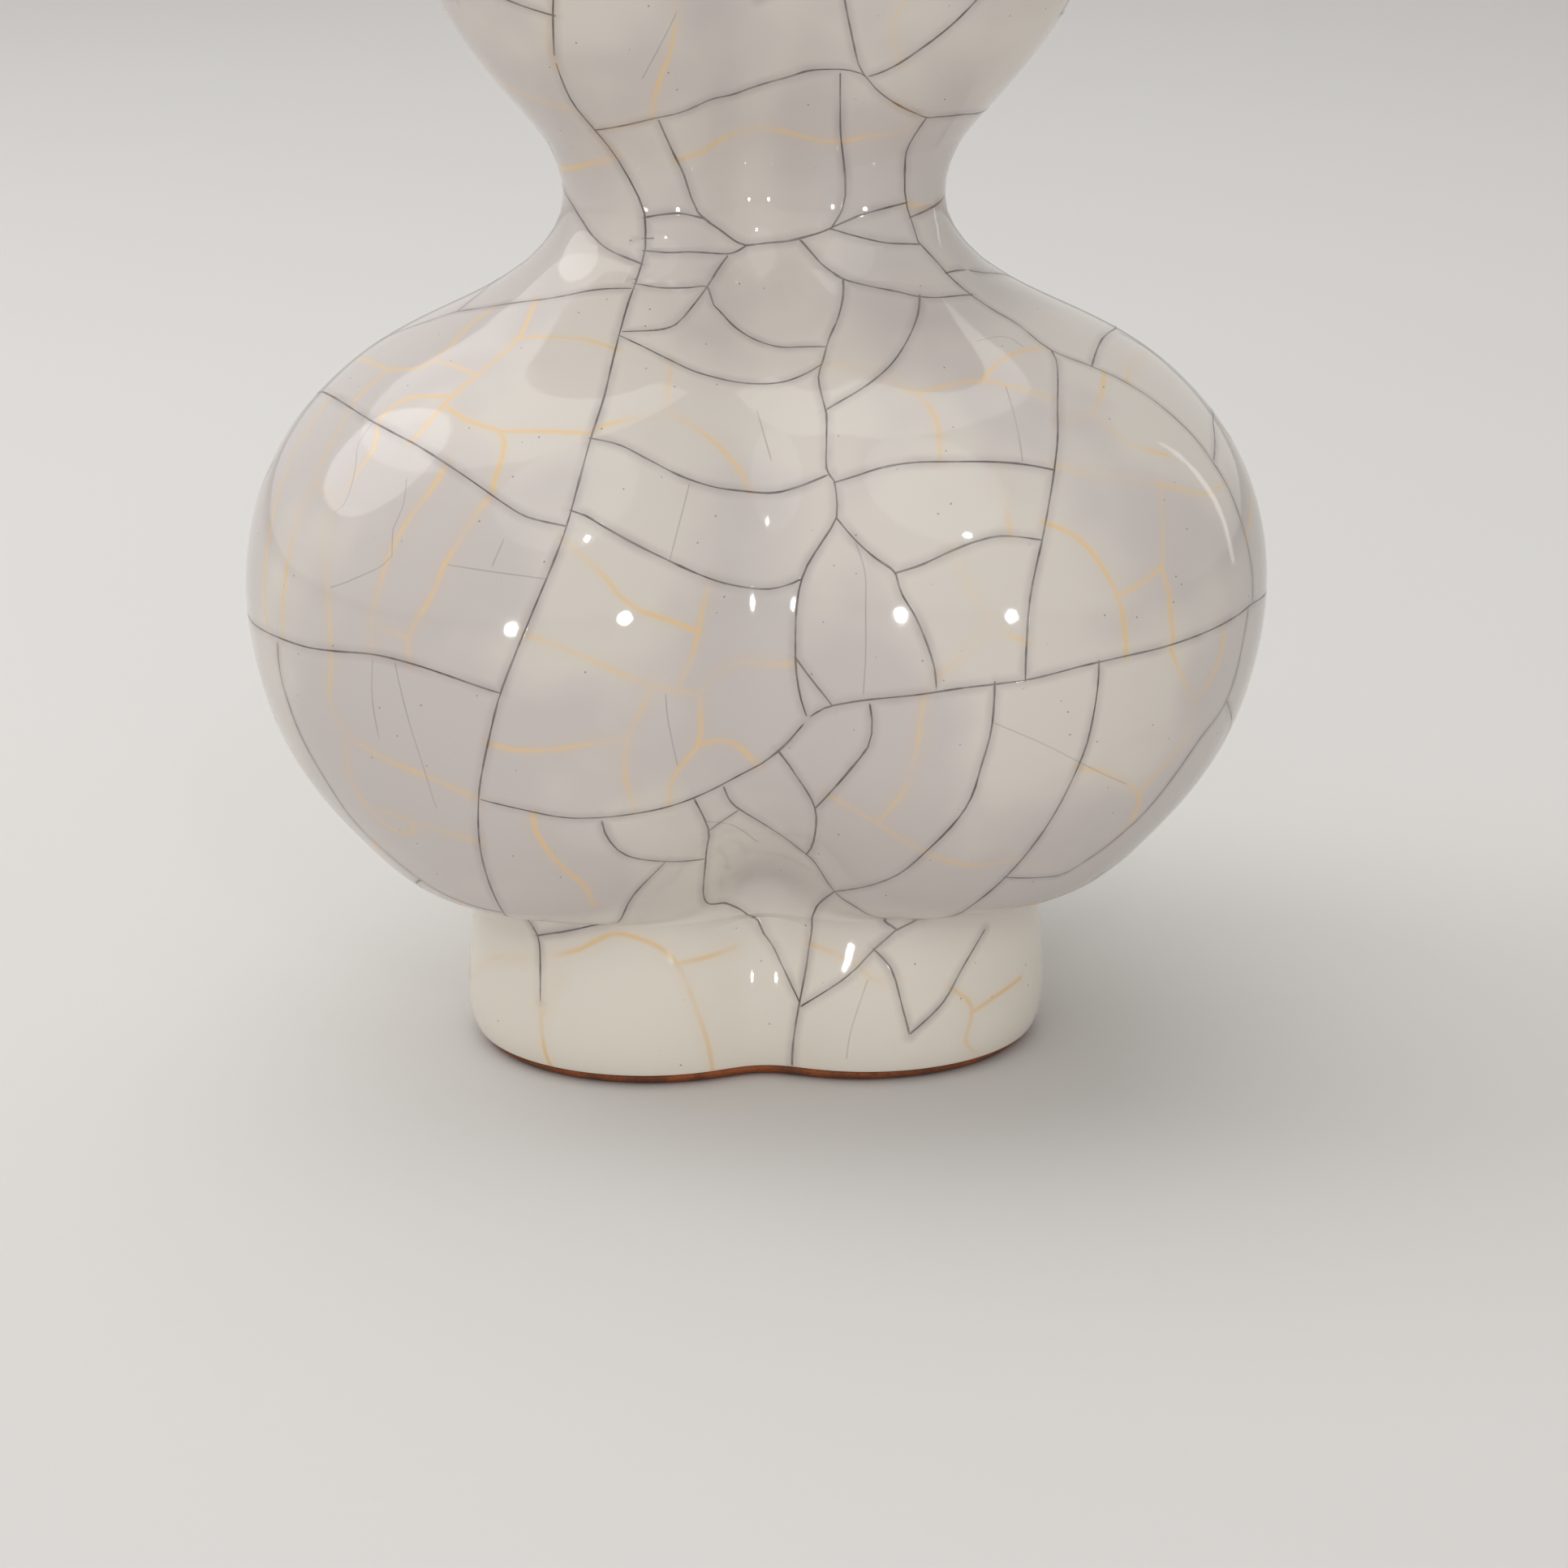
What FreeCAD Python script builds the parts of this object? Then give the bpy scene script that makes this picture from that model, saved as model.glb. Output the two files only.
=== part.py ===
import FreeCAD, Part
import Sketcher
import math
import os

# Double gourd vase with a trefoil section: three joined gourds with a soft groove between each pair.
# The vase stands on z = 0 under the centre of its plan, and one groove faces -Y.
# The clay body is luted from sections, and glaze and slip lie on it as layers.

doc = FreeCAD.newDocument("DoubleGourdVase")

# Driving dimensions in millimetres
SIZES = [
    ("foot_height", 24.0),
    ("foot_rim_half_width", 38.8),
    ("foot_half_width", 41.8),
    ("foot_top_half_width", 40.8),
    ("lower_bulb_half_width", 71.6),
    ("lower_equator_height", 69.6),
    ("waist_half_width", 26.0),
    ("waist_height", 122.4),
    ("upper_bulb_half_width", 45.0),
    ("upper_equator_height", 154.6),
    ("neck_half_width", 13.6),
    ("neck_height", 192.0),
    ("mouth_half_width", 15.0),
    ("vase_height", 200.0),
    ("glaze", 0.8),
    ("lining", 0.5),
    ("bulb_wall", 4.5),
    ("mouth_wall", 2.4),
    ("recess_depth", 21.0),
    ("rim_width", 4.4),
    ("bare_rim", 1.4),
    ("rim_slip", 0.4),
    ("lip_band", 1.6),
    ("shoulder_seam_height", 106.0),
    ("collar_seam_height", 136.0),
    ("neck_seam_height", 184.0),
    ("saddle_rise", 8.0),
    ("overrun", 3.0),
]

# Stations of the wall between the heights above, from the foot upwards.
# A row holds shares of the rise and of the widening from one named place to the next, the lobes'
# centres and the grooves' radius as shares of the half width, and how far the wall has thinned.
UNDERSIDE_SHARES = [
    (0.018, 0.130, 0.490, 0.110, 0.0),
    (0.058, 0.282, 0.495, 0.090, 0.0),
    (0.118, 0.392, 0.490, 0.085, 0.0),
    (0.211, 0.523, 0.462, 0.130, 0.0),
    (0.368, 0.718, 0.425, 0.185, 0.0),
    (0.553, 0.872, 0.398, 0.212, 0.0),
    (0.763, 0.964, 0.388, 0.218, 0.0),
    (1.000, 1.000, 0.385, 0.218, 0.0),
]
SHOULDER_SHARES = [
    (0.182, 0.972, 0.385, 0.218, 0.0),
    (0.364, 0.882, 0.390, 0.215, 0.0),
    (0.500, 0.754, 0.400, 0.215, 0.0),
    (0.580, 0.642, 0.410, 0.220, 0.0),
    (0.655, 0.484, 0.420, 0.230, 0.0),
    (0.727, 0.277, 0.435, 0.245, 0.0),
    (0.784, 0.169, 0.445, 0.255, 0.0),
    (0.864, 0.055, 0.460, 0.265, 0.1),
    (0.940, 0.008, 0.475, 0.270, 0.1),
    (1.000, 0.000, 0.480, 0.270, 0.2),
]
UPPER_BULB_SHARES = [
    (0.075, 0.015, 0.480, 0.270, 0.2),
    (0.242, 0.156, 0.480, 0.270, 0.2),
    (0.447, 0.458, 0.480, 0.260, 0.3),
    (0.671, 0.745, 0.475, 0.250, 0.4),
    (0.857, 0.932, 0.470, 0.245, 0.5),
    (1.000, 1.000, 0.465, 0.245, 0.5),
]
DOME_SHARES = [
    (0.160, 0.982, 0.460, 0.250, 0.6),
    (0.305, 0.935, 0.450, 0.260, 0.6),
    (0.465, 0.840, 0.430, 0.280, 0.7),
    (0.600, 0.700, 0.400, 0.310, 0.8),
    (0.706, 0.530, 0.360, 0.350, 0.9),
    (0.800, 0.330, 0.310, 0.400, 1.0),
    (0.893, 0.135, 0.250, 0.500, 1.0),
    (1.000, 0.000, 0.200, 0.600, 1.0),
]
MOUTH_SHARES = [
    (0.500, 0.200, 0.165, 0.650, 1.0),
    (1.000, 1.000, 0.140, 0.700, 1.0),
]
FOOT_RIM_SHARES = [
    (0.000, 0.000, 0.385, 0.270, 0.0),
    (0.020, 0.270, 0.385, 0.270, 0.0),
    (0.058, 0.520, 0.385, 0.265, 0.0),
    (0.138, 0.840, 0.388, 0.260, 0.0),
    (0.250, 1.000, 0.390, 0.255, 0.0),
]
FOOT_WALL_SHARES = [
    (0.333, 0.200, 0.400, 0.245, 0.0),
    (0.667, 0.800, 0.410, 0.235, 0.0),
    (1.000, 1.000, 0.420, 0.225, 0.0),
]
FOOT_WIDEST_HEIGHT_SHARE = 0.25

# A front lobe's centre lies this far forward of the axis for each unit that it lies aside
LOBE_SLOPE = math.tan(math.radians(30))

sheet = doc.addObject("Spreadsheet::Sheet", "Sizes")
for row, (alias, number) in enumerate(SIZES, start=1):
    sheet.set("A%d" % row, alias)
    sheet.set("B%d" % row, str(number))
    sheet.setAlias("B%d" % row, alias)
doc.recompute()


class Length:
    """A length worked out from the sheet: its value now, and the expression that binds it."""

    def __init__(self, value, text):
        self.value = value
        self.text = text

    def __add__(self, other):
        return Length(self.value + other.value, "(%s + %s)" % (self.text, other.text))

    def __sub__(self, other):
        return Length(self.value - other.value, "(%s - %s)" % (self.text, other.text))

    def __mul__(self, share):
        return Length(self.value * share, "(%s * %.5f)" % (self.text, share))


def size(alias):
    return Length(float(getattr(sheet, alias)), "Sizes." + alias)


class Station:
    """One level of the wall: its height, its half width and the shape of its trefoil."""

    def __init__(self, height, half_width, lobe_share, groove_share, thinning_share):
        self.height = height
        self.half_width = half_width
        self.lobe_offset = half_width * lobe_share
        self.groove_radius = half_width * groove_share
        self.thinning_share = thinning_share


def stretch(shares, low, high, width_at_zero, width_at_one):
    """Stations from one named height to another, between two named half widths."""
    stations = []
    for rise, widening, lobe, groove, thinning in shares:
        height = low + (high - low) * rise
        half_width = width_at_zero + (width_at_one - width_at_zero) * widening
        stations.append(Station(height, half_width, lobe, groove, thinning))
    return stations


def body_stations():
    """The wall from the joint with the foot to the lip. It starts inside the top of the foot."""
    foot, equator = size("foot_height"), size("lower_equator_height")
    waist, upper = size("waist_height"), size("upper_equator_height")
    neck, top = size("neck_height"), size("vase_height")
    start_width = size("foot_top_half_width") - size("glaze") * 2
    wide, narrow = size("lower_bulb_half_width"), size("waist_half_width")
    upper_wide, neck_wide = size("upper_bulb_half_width"), size("neck_half_width")
    mouth_wide = size("mouth_half_width")
    stations = [Station(foot, start_width, 0.47, 0.12, 0.0)]
    stations += stretch(UNDERSIDE_SHARES, foot, equator, size("foot_top_half_width"), wide)
    stations += stretch(SHOULDER_SHARES, equator, waist, narrow, wide)
    stations += stretch(UPPER_BULB_SHARES, waist, upper, narrow, upper_wide)
    stations += stretch(DOME_SHARES, upper, neck, neck_wide, upper_wide)
    stations += stretch(MOUTH_SHARES, neck, top, neck_wide, mouth_wide)
    return stations


def foot_stations():
    """The outside of the foot, from the rim into the underside of the lower bulb."""
    ground = size("foot_height") * 0
    widest = size("foot_height") * FOOT_WIDEST_HEIGHT_SHARE
    rim, wide, top = size("foot_rim_half_width"), size("foot_half_width"), size("foot_top_half_width")
    stations = stretch(FOOT_RIM_SHARES, ground, size("foot_height"), rim, wide)
    stations += stretch(FOOT_WALL_SHARES, widest, size("foot_height"), wide, top)
    last = stations[-1]
    saddle = Station(last.height + size("saddle_rise"), top * 0.97, 0.43, 0.21, 0.0)
    return stations + [saddle]


def narrowed(station, depth):
    """The same trefoil drawn in all round, about the same centres."""
    copy = Station(station.height, station.half_width - depth, 0, 0, 0)
    copy.lobe_offset = station.lobe_offset
    copy.groove_radius = station.groove_radius + depth
    return copy


def inward(stations, depth_of):
    """The same wall moved inwards, square to its slope, by a depth given for each station."""
    moved = []
    for index, station in enumerate(stations):
        before = stations[max(index - 1, 0)]
        after = stations[min(index + 1, len(stations) - 1)]
        rise = after.height.value - before.height.value
        widening = after.half_width.value - before.half_width.value
        slope = math.hypot(rise, widening)
        depth = depth_of(station)
        copy = narrowed(station, depth * (rise / slope))
        copy.height = station.height + depth * (widening / slope)
        moved.append(copy)
    return moved


def corner(radius, degrees):
    angle = math.radians(degrees)
    return FreeCAD.Vector(radius * math.cos(angle), radius * math.sin(angle), 0)


def bearing(origin, target):
    """Direction from one point to another, as an angle."""
    return math.atan2(target.y - origin.y, target.x - origin.x)


def plan_centring():
    """How far the axis stands forward so that the plan of the lower bulb is centred on the origin."""
    lobe_share = UNDERSIDE_SHARES[-1][2]
    return size("lower_bulb_half_width") * (lobe_share * LOBE_SLOPE / 2)


def trefoil_sketch(body, name, station):
    """Three lobes joined by three hollow arcs, all tangent, with every size bound to the sheet."""
    sketch = body.newObject("Sketcher::SketchObject", name)
    plane = [item for item in body.Origin.OriginFeatures if item.Role == "XY_Plane"][0]
    sketch.AttachmentSupport = (plane, [""])
    sketch.MapMode = "FlatFace"
    sketch.setExpression(".AttachmentOffset.Base.y", (plan_centring() * -1).text)
    sketch.setExpression(".AttachmentOffset.Base.z", station.height.text)

    aside = station.lobe_offset
    down = aside * LOBE_SLOPE
    lobe_radius = station.half_width - aside
    groove_radius = station.groove_radius
    lobe_distance = down.value * 2
    between_centres = lobe_radius.value + groove_radius.value
    groove_distance = down.value + math.sqrt(between_centres ** 2 - aside.value ** 2)
    lobes = [corner(lobe_distance, degrees) for degrees in (-30, 90, 210)]
    grooves = [corner(groove_distance, degrees) for degrees in (30, 150, 270)]
    upright = FreeCAD.Vector(0, 0, 1)
    for index, lobe in enumerate(lobes):
        groove_before, groove_after = grooves[index - 1], grooves[index]
        next_lobe = lobes[(index + 1) % 3]
        circle = Part.Circle(lobe, upright, lobe_radius.value)
        swell = Part.ArcOfCircle(circle, bearing(lobe, groove_before), bearing(lobe, groove_after))
        hollow_circle = Part.Circle(groove_after, upright, groove_radius.value)
        hollow = Part.ArcOfCircle(hollow_circle, bearing(groove_after, next_lobe), bearing(groove_after, lobe))
        sketch.addGeometry(swell, False)
        sketch.addGeometry(hollow, False)

    for index in range(3):
        swell, hollow, next_swell = 2 * index, 2 * index + 1, (2 * index + 2) % 6
        sketch.addConstraint(Sketcher.Constraint("Tangent", swell, 2, hollow, 2))
        sketch.addConstraint(Sketcher.Constraint("Tangent", hollow, 1, next_swell, 1))
    for first, other in ((0, 2), (0, 4), (1, 3), (1, 5)):
        sketch.addConstraint(Sketcher.Constraint("Equal", first, other))
    sized = [
        ("lobe_radius", Sketcher.Constraint("Radius", 0, lobe_radius.value), lobe_radius),
        ("groove_radius", Sketcher.Constraint("Radius", 1, groove_radius.value), groove_radius),
        ("right_lobe_aside", Sketcher.Constraint("DistanceX", -1, 1, 0, 3, aside.value), aside),
        ("right_lobe_down", Sketcher.Constraint("DistanceY", 0, 3, -1, 1, down.value), down),
        ("left_lobe_aside", Sketcher.Constraint("DistanceX", 4, 3, -1, 1, aside.value), aside),
        ("left_lobe_down", Sketcher.Constraint("DistanceY", 4, 3, -1, 1, down.value), down),
        ("back_lobe_up", Sketcher.Constraint("DistanceY", -1, 1, 2, 3, lobe_distance), down * 2),
    ]
    sketch.addConstraint(Sketcher.Constraint("PointOnObject", 2, 3, -2))
    for constraint_name, constraint, length in sized:
        number = sketch.addConstraint(constraint)
        sketch.renameConstraint(number, constraint_name)
        sketch.setExpression("Constraints." + constraint_name, length.text)
    return sketch


def lofted_form(name, stations):
    """Closed form through all the stations, made in one loft so that it has no kink."""
    body = doc.addObject("PartDesign::Body", name)
    sketches = []
    for index, station in enumerate(stations):
        sketches.append(trefoil_sketch(body, "%sStation%d" % (name, index), station))
    doc.recompute()
    loft = body.newObject("PartDesign::AdditiveLoft", name + "Loft")
    loft.Profile = sketches[0]
    loft.Sections = sketches[1:]
    loft.Ruled = False
    return body


def column(name, station, height):
    """Upright trefoil column that starts at the station's height."""
    body = doc.addObject("PartDesign::Body", name)
    sketch = trefoil_sketch(body, name + "Section", station)
    doc.recompute()
    pad = body.newObject("PartDesign::Pad", name + "Pad")
    pad.Profile = sketch
    pad.setExpression("Length", height.text)
    return body


def slab(name, low, high):
    """Wide block between two heights, which takes one stretch out of a form."""
    block = doc.addObject("Part::Box", name)
    half = size("lower_bulb_half_width") * 2
    block.setExpression("Length", (half * 2).text)
    block.setExpression("Width", (half * 2).text)
    block.setExpression("Height", (high - low).text)
    block.setExpression("Placement.Base.x", (half * -1).text)
    block.setExpression("Placement.Base.y", (half * -1).text)
    block.setExpression("Placement.Base.z", low.text)
    return block


def boolean(kind, name, base, tool):
    result = doc.addObject("Part::" + kind, name)
    result.Base = base
    result.Tool = tool
    return result


def fuse(name, base, tool):
    return boolean("Fuse", name, base, tool)


def cut(name, base, tool):
    return boolean("Cut", name, base, tool)


def common(name, base, tool):
    return boolean("Common", name, base, tool)


def clay_depth(station):
    return size("glaze")


def cavity_depth(station):
    wall = size("bulb_wall") + (size("mouth_wall") - size("bulb_wall")) * station.thinning_share
    return size("glaze") + wall


def lined_depth(station):
    return cavity_depth(station) + size("lining")


# Forms of the glazed outside, the clay's outside, the clay's cavity and the lined cavity
body_wall = body_stations()
foot_wall = foot_stations()
glazed_body = lofted_form("GlazedBody", body_wall)
clay_body = lofted_form("ClayBody", inward(body_wall, clay_depth))
cavity = lofted_form("Cavity", inward(body_wall, cavity_depth))
lined_cavity = lofted_form("LinedCavity", inward(body_wall, lined_depth))
glazed_foot = lofted_form("GlazedFoot", foot_wall)
clay_foot = lofted_form("ClayFoot", [narrowed(station, size("glaze")) for station in foot_wall])

# Hollow under the foot, which follows the rim of the foot ring inside its flat bearing edge
under_ground = size("overrun") * -1
recess_section = narrowed(foot_wall[0], size("rim_width"))
recess_section.height = under_ground
clay_recess = column("ClayRecess", recess_section, size("recess_depth") + size("overrun"))
glazed_recess_height = size("recess_depth") + size("overrun") - size("lining")
glazed_recess = column("GlazedRecess", narrowed(recess_section, size("lining")), glazed_recess_height)
floor_top = size("foot_height") + size("glaze") + size("bulb_wall")
floor_column = column("FloorColumn", recess_section, floor_top + size("overrun"))

# Whole vase with its glaze, and the clay alone
glazed_outside = fuse("GlazedOutside", glazed_body, glazed_foot)
glazed_hollowed = cut("GlazedHollowed", glazed_outside, lined_cavity)
glazed_vase = cut("GlazedVase", glazed_hollowed, glazed_recess)
clay_outside = fuse("ClayOutside", clay_body, clay_foot)
clay_hollowed = cut("ClayHollowed", clay_outside, cavity)
clay_open = cut("ClayOpen", clay_hollowed, clay_recess)
clay_reach = slab("ClayReach", size("rim_slip"), size("vase_height") - size("glaze"))
clay = common("Clay", clay_open, clay_reach)

pieces = []


def keep(node, name):
    node.Label = name
    pieces.append(node)


# Foot ring and base floor
foot_seam = size("foot_height") + size("glaze") * 2
foot_reach = slab("FootReach", size("rim_slip"), foot_seam)
foot_block = common("FootBlock", clay_foot, foot_reach)
foot_clay = common("FootClay", clay, foot_block)
keep(cut("FootRing", foot_clay, floor_column), "foot_ring")
keep(common("BaseFloor", clay, floor_column), "base_floor")

# Sections of the clay wall, luted edge to edge
lower_reach = slab("LowerReach", size("rim_slip"), size("lower_equator_height"))
lower_clay = common("LowerClay", clay, lower_reach)
lower_over_foot = cut("LowerOverFoot", lower_clay, foot_block)
keep(cut("LowerBulbBottom", lower_over_foot, floor_column), "lower_bulb_bottom")
SECTIONS = [
    ("lower_bulb_shoulder", "lower_equator_height", "shoulder_seam_height"),
    ("waist_collar", "shoulder_seam_height", "collar_seam_height"),
    ("upper_bulb_bottom", "collar_seam_height", "upper_equator_height"),
    ("upper_bulb_top", "upper_equator_height", "neck_seam_height"),
    ("mouth_collar", "neck_seam_height", "vase_height"),
]
for label, low_alias, high_alias in SECTIONS:
    reach = slab(label + "_reach", size(low_alias), size(high_alias))
    keep(common(label + "_clay", clay, reach), label)

# Layers of glaze and slip
glaze_end = size("vase_height") - size("lip_band")
outer_coat = cut("OuterCoat", glazed_outside, clay_outside)
glaze_reach = slab("GlazeReach", size("bare_rim"), glaze_end)
keep(common("OuterGlaze", outer_coat, glaze_reach), "outer_glaze")
inner_coat = cut("InnerCoat", cavity, lined_cavity)
inner_reach = slab("InnerReach", size("bare_rim"), glaze_end)
keep(common("InnerGlaze", inner_coat, inner_reach), "inner_glaze")
recess_coat = cut("RecessCoat", clay_recess, glazed_recess)
recess_reach = slab("RecessReach", size("bare_rim"), size("foot_height"))
keep(common("BaseGlaze", recess_coat, recess_reach), "base_glaze")
lip_reach = slab("LipReach", glaze_end, size("vase_height") + size("overrun"))
keep(cut("MouthRimGlaze", common("Lip", glazed_vase, lip_reach), clay), "mouth_rim_glaze")
rim_reach = slab("RimReach", under_ground, size("bare_rim"))
keep(cut("FootRimSlip", common("Rim", glazed_vase, rim_reach), clay), "foot_rim_slip")

doc.recompute()


def check_document():
    for item in doc.Objects:
        if "Invalid" in item.State or "Error" in item.State:
            raise RuntimeError("failed: " + item.Name)
    for piece in pieces:
        shape = piece.Shape
        if shape.isNull() or not shape.isValid() or len(shape.Solids) != 1:
            raise RuntimeError("bad shape: %s, solids %d" % (piece.Label, len(shape.Solids)))


check_document()
os.makedirs("parts", exist_ok=True)
for piece in pieces:
    piece.Shape.exportStep("parts/%s.step" % piece.Label)
    box = piece.Shape.optimalBoundingBox()
    print("%-20s volume %9.0f mm3, z %6.1f to %6.1f" % (piece.Label, piece.Shape.Volume, box.ZMin, box.ZMax))
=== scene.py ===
import math
import random

import bmesh
import bpy
import numpy as np
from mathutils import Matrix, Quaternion, Vector
from mathutils.bvhtree import BVHTree
from mathutils.kdtree import KDTree


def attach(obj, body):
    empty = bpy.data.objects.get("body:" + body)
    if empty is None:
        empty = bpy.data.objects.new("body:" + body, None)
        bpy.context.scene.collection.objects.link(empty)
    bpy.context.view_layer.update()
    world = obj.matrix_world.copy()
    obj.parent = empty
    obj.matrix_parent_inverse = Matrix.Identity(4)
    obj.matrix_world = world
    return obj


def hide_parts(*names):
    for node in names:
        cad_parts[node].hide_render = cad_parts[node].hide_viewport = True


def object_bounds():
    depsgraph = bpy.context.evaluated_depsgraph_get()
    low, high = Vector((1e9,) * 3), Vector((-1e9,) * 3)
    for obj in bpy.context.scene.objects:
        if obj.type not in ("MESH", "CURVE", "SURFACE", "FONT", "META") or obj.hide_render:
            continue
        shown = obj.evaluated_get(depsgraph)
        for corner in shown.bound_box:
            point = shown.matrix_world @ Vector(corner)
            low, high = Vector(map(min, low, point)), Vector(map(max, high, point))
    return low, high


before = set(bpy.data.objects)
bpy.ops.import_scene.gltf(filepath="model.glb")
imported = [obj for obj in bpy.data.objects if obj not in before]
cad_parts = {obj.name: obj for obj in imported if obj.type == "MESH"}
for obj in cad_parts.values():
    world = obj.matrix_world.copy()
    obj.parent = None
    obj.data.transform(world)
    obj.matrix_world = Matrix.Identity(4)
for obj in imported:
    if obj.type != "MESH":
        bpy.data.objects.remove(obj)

bl_info = {
    "name": "Trefoil double gourd vase",
    "version": (1, 0, 0),
    "blender": (4, 5, 0),
    "location": "View3D > Sidebar > Vase",
    "description": "Dresses a crackle-glazed double gourd vase and lights it",
    "category": "Object",
}

MM = 0.001
CAD_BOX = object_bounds()

# Stations of the outside wall, as in the construction: shares of the rise and of the widening from one
# named place to the next, then the lobes' centres and the grooves' radius as shares of the half width,
# and how far the wall has thinned.
UNDERSIDE_SHARES = [
    (0.018, 0.130, 0.490, 0.110, 0.0),
    (0.058, 0.282, 0.495, 0.090, 0.0),
    (0.118, 0.392, 0.490, 0.085, 0.0),
    (0.211, 0.523, 0.462, 0.130, 0.0),
    (0.368, 0.718, 0.425, 0.185, 0.0),
    (0.553, 0.872, 0.398, 0.212, 0.0),
    (0.763, 0.964, 0.388, 0.218, 0.0),
    (1.000, 1.000, 0.385, 0.218, 0.0),
]
SHOULDER_SHARES = [
    (0.182, 0.972, 0.385, 0.218, 0.0),
    (0.364, 0.882, 0.390, 0.215, 0.0),
    (0.500, 0.754, 0.400, 0.215, 0.0),
    (0.580, 0.642, 0.410, 0.220, 0.0),
    (0.655, 0.484, 0.420, 0.230, 0.0),
    (0.727, 0.277, 0.435, 0.245, 0.0),
    (0.784, 0.169, 0.445, 0.255, 0.0),
    (0.864, 0.055, 0.460, 0.265, 0.1),
    (0.940, 0.008, 0.475, 0.270, 0.1),
    (1.000, 0.000, 0.480, 0.270, 0.2),
]
UPPER_BULB_SHARES = [
    (0.075, 0.015, 0.480, 0.270, 0.2),
    (0.242, 0.156, 0.480, 0.270, 0.2),
    (0.447, 0.458, 0.480, 0.260, 0.3),
    (0.671, 0.745, 0.475, 0.250, 0.4),
    (0.857, 0.932, 0.470, 0.245, 0.5),
    (1.000, 1.000, 0.465, 0.245, 0.5),
]
DOME_SHARES = [
    (0.160, 0.982, 0.460, 0.250, 0.6),
    (0.305, 0.935, 0.450, 0.260, 0.6),
    (0.465, 0.840, 0.430, 0.280, 0.7),
    (0.600, 0.700, 0.400, 0.310, 0.8),
    (0.706, 0.530, 0.360, 0.350, 0.9),
    (0.800, 0.330, 0.310, 0.400, 1.0),
    (0.893, 0.135, 0.250, 0.500, 1.0),
    (1.000, 0.000, 0.200, 0.600, 1.0),
]
MOUTH_SHARES = [
    (0.500, 0.200, 0.165, 0.650, 1.0),
    (1.000, 1.000, 0.140, 0.700, 1.0),
]
FOOT_RIM_SHARES = [
    (0.000, 0.000, 0.385, 0.270, 0.0),
    (0.020, 0.270, 0.385, 0.270, 0.0),
    (0.058, 0.520, 0.385, 0.265, 0.0),
    (0.138, 0.840, 0.388, 0.260, 0.0),
    (0.250, 1.000, 0.390, 0.255, 0.0),
]
FOOT_WALL_SHARES = [
    (0.333, 0.200, 0.400, 0.245, 0.0),
    (0.667, 0.800, 0.410, 0.235, 0.0),
    (1.000, 1.000, 0.420, 0.225, 0.0),
]

# The soft inner corner between foot and bulb, as shares of the foot's height and of its width at the top
JOINT_FILLET_SHARES = [
    (0.948, 1.000, 0.450, 0.160),
    (0.987, 1.008, 0.465, 0.135),
    (1.006, 1.030, 0.478, 0.120),
    (1.022, 1.064, 0.486, 0.110),
    (1.043, 1.115, 0.490, 0.100),
]
# Round the slip on the rim: height as a share of the bare rim, and place as a share of the rim's width
SLIP_SHARES = [
    (1.36, 0.18), (0.93, 0.31), (0.57, 0.22), (0.29, 0.11), (0.07, -0.02), (0, -0.23), (0, -0.57),
    (0, -0.82), (0.09, -0.95), (0.36, -1.05), (0.79, -1.09), (1.36, -1.02), (1.36, -0.40),
]
# From the middle of the recess out and down its wall, then back behind its glaze: height, place and depth
RECESS_SHARES = [
    (1.000, 0.12, 0), (1.000, 0.55, 0), (1.000, 0.90, 0), (0.990, 0.965, 0), (0.950, 1.0, 0.9),
    (0.60, 1.0, 1), (0.25, 1.0, 1), (0.09, 1.0, 1), (0.068, 1.0, 0.6), (0.09, 1.0, 0.1), (0.30, 1.0, 0),
    (0.96, 1.0, 0),
    (1.024, 0.99, 0), (1.024, 0.90, 0), (1.024, 0.5, 0), (1.024, 0.12, 0),
]
# Round the lip: height as a share of its band, and depth as a share of the wall
LIP_SHARES = [
    (-0.25, 0.16), (0.05, 0.075), (0.35, 0.030), (0.70, 0.040), (0.94, 0.17), (1.00, 0.42), (0.98, 0.68),
    (0.78, 0.90), (0.35, 0.98), (-0.10, 1.00), (-0.25, 0.85), (-0.25, 0.40),
]
FOOT_WIDEST_SHARE = 0.25
CLAY_NODES = ("foot_ring", "base_floor", "lower_bulb_bottom", "lower_bulb_shoulder", "waist_collar",
              "upper_bulb_bottom", "upper_bulb_top", "mouth_collar")

LOBE_TILT = math.radians(30)
GROOVE_ANGLE = math.radians(30)
THIRD = math.radians(120)
# The box is centred on the plan, and the lobes' axis stands a little in front of its centre
AXIS = Vector((0, -UNDERSIDE_SHARES[-1][2] * 71.6 * MM / math.cos(LOBE_TILT) / 4, 0))
SPOKES = 84
BEND_LENGTH = 25 * MM
PHOTO_SIDE = 1932
LONGEST_CRACK = 130 * MM
CRACKED_FROM, CRACKED_TO = 1.6 * MM, 198 * MM
TRIAL_SPOTS = 1500
FAR_AWAY = 30 * MM
ROW_STEP = 0.25 * MM
OUTSIDE_ROUNDS, BEHIND_ROUNDS = 49, 21
LINING_ROUNDS, BEHIND_LINING_ROUNDS = 26, 14
SADDLE_FROM, SADDLE_TO = 24.3 * MM, 33 * MM
SADDLE_DETAIL = 4
SADDLE_LEAN = 0.03
FLOOR_RADIUS = 6
AIM_HEIGHT = 0.08
PANEL_BEAM = math.radians(180)
CRACK_SEED = 11
LAMP_PLACES = {
    "lamp_above": (0.09, -1.00, 0.64),
    "lamp_right": (0.20, -0.62, 0.05),
    "lamp_left": (-0.22, -0.63, 0.04),
}
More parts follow.
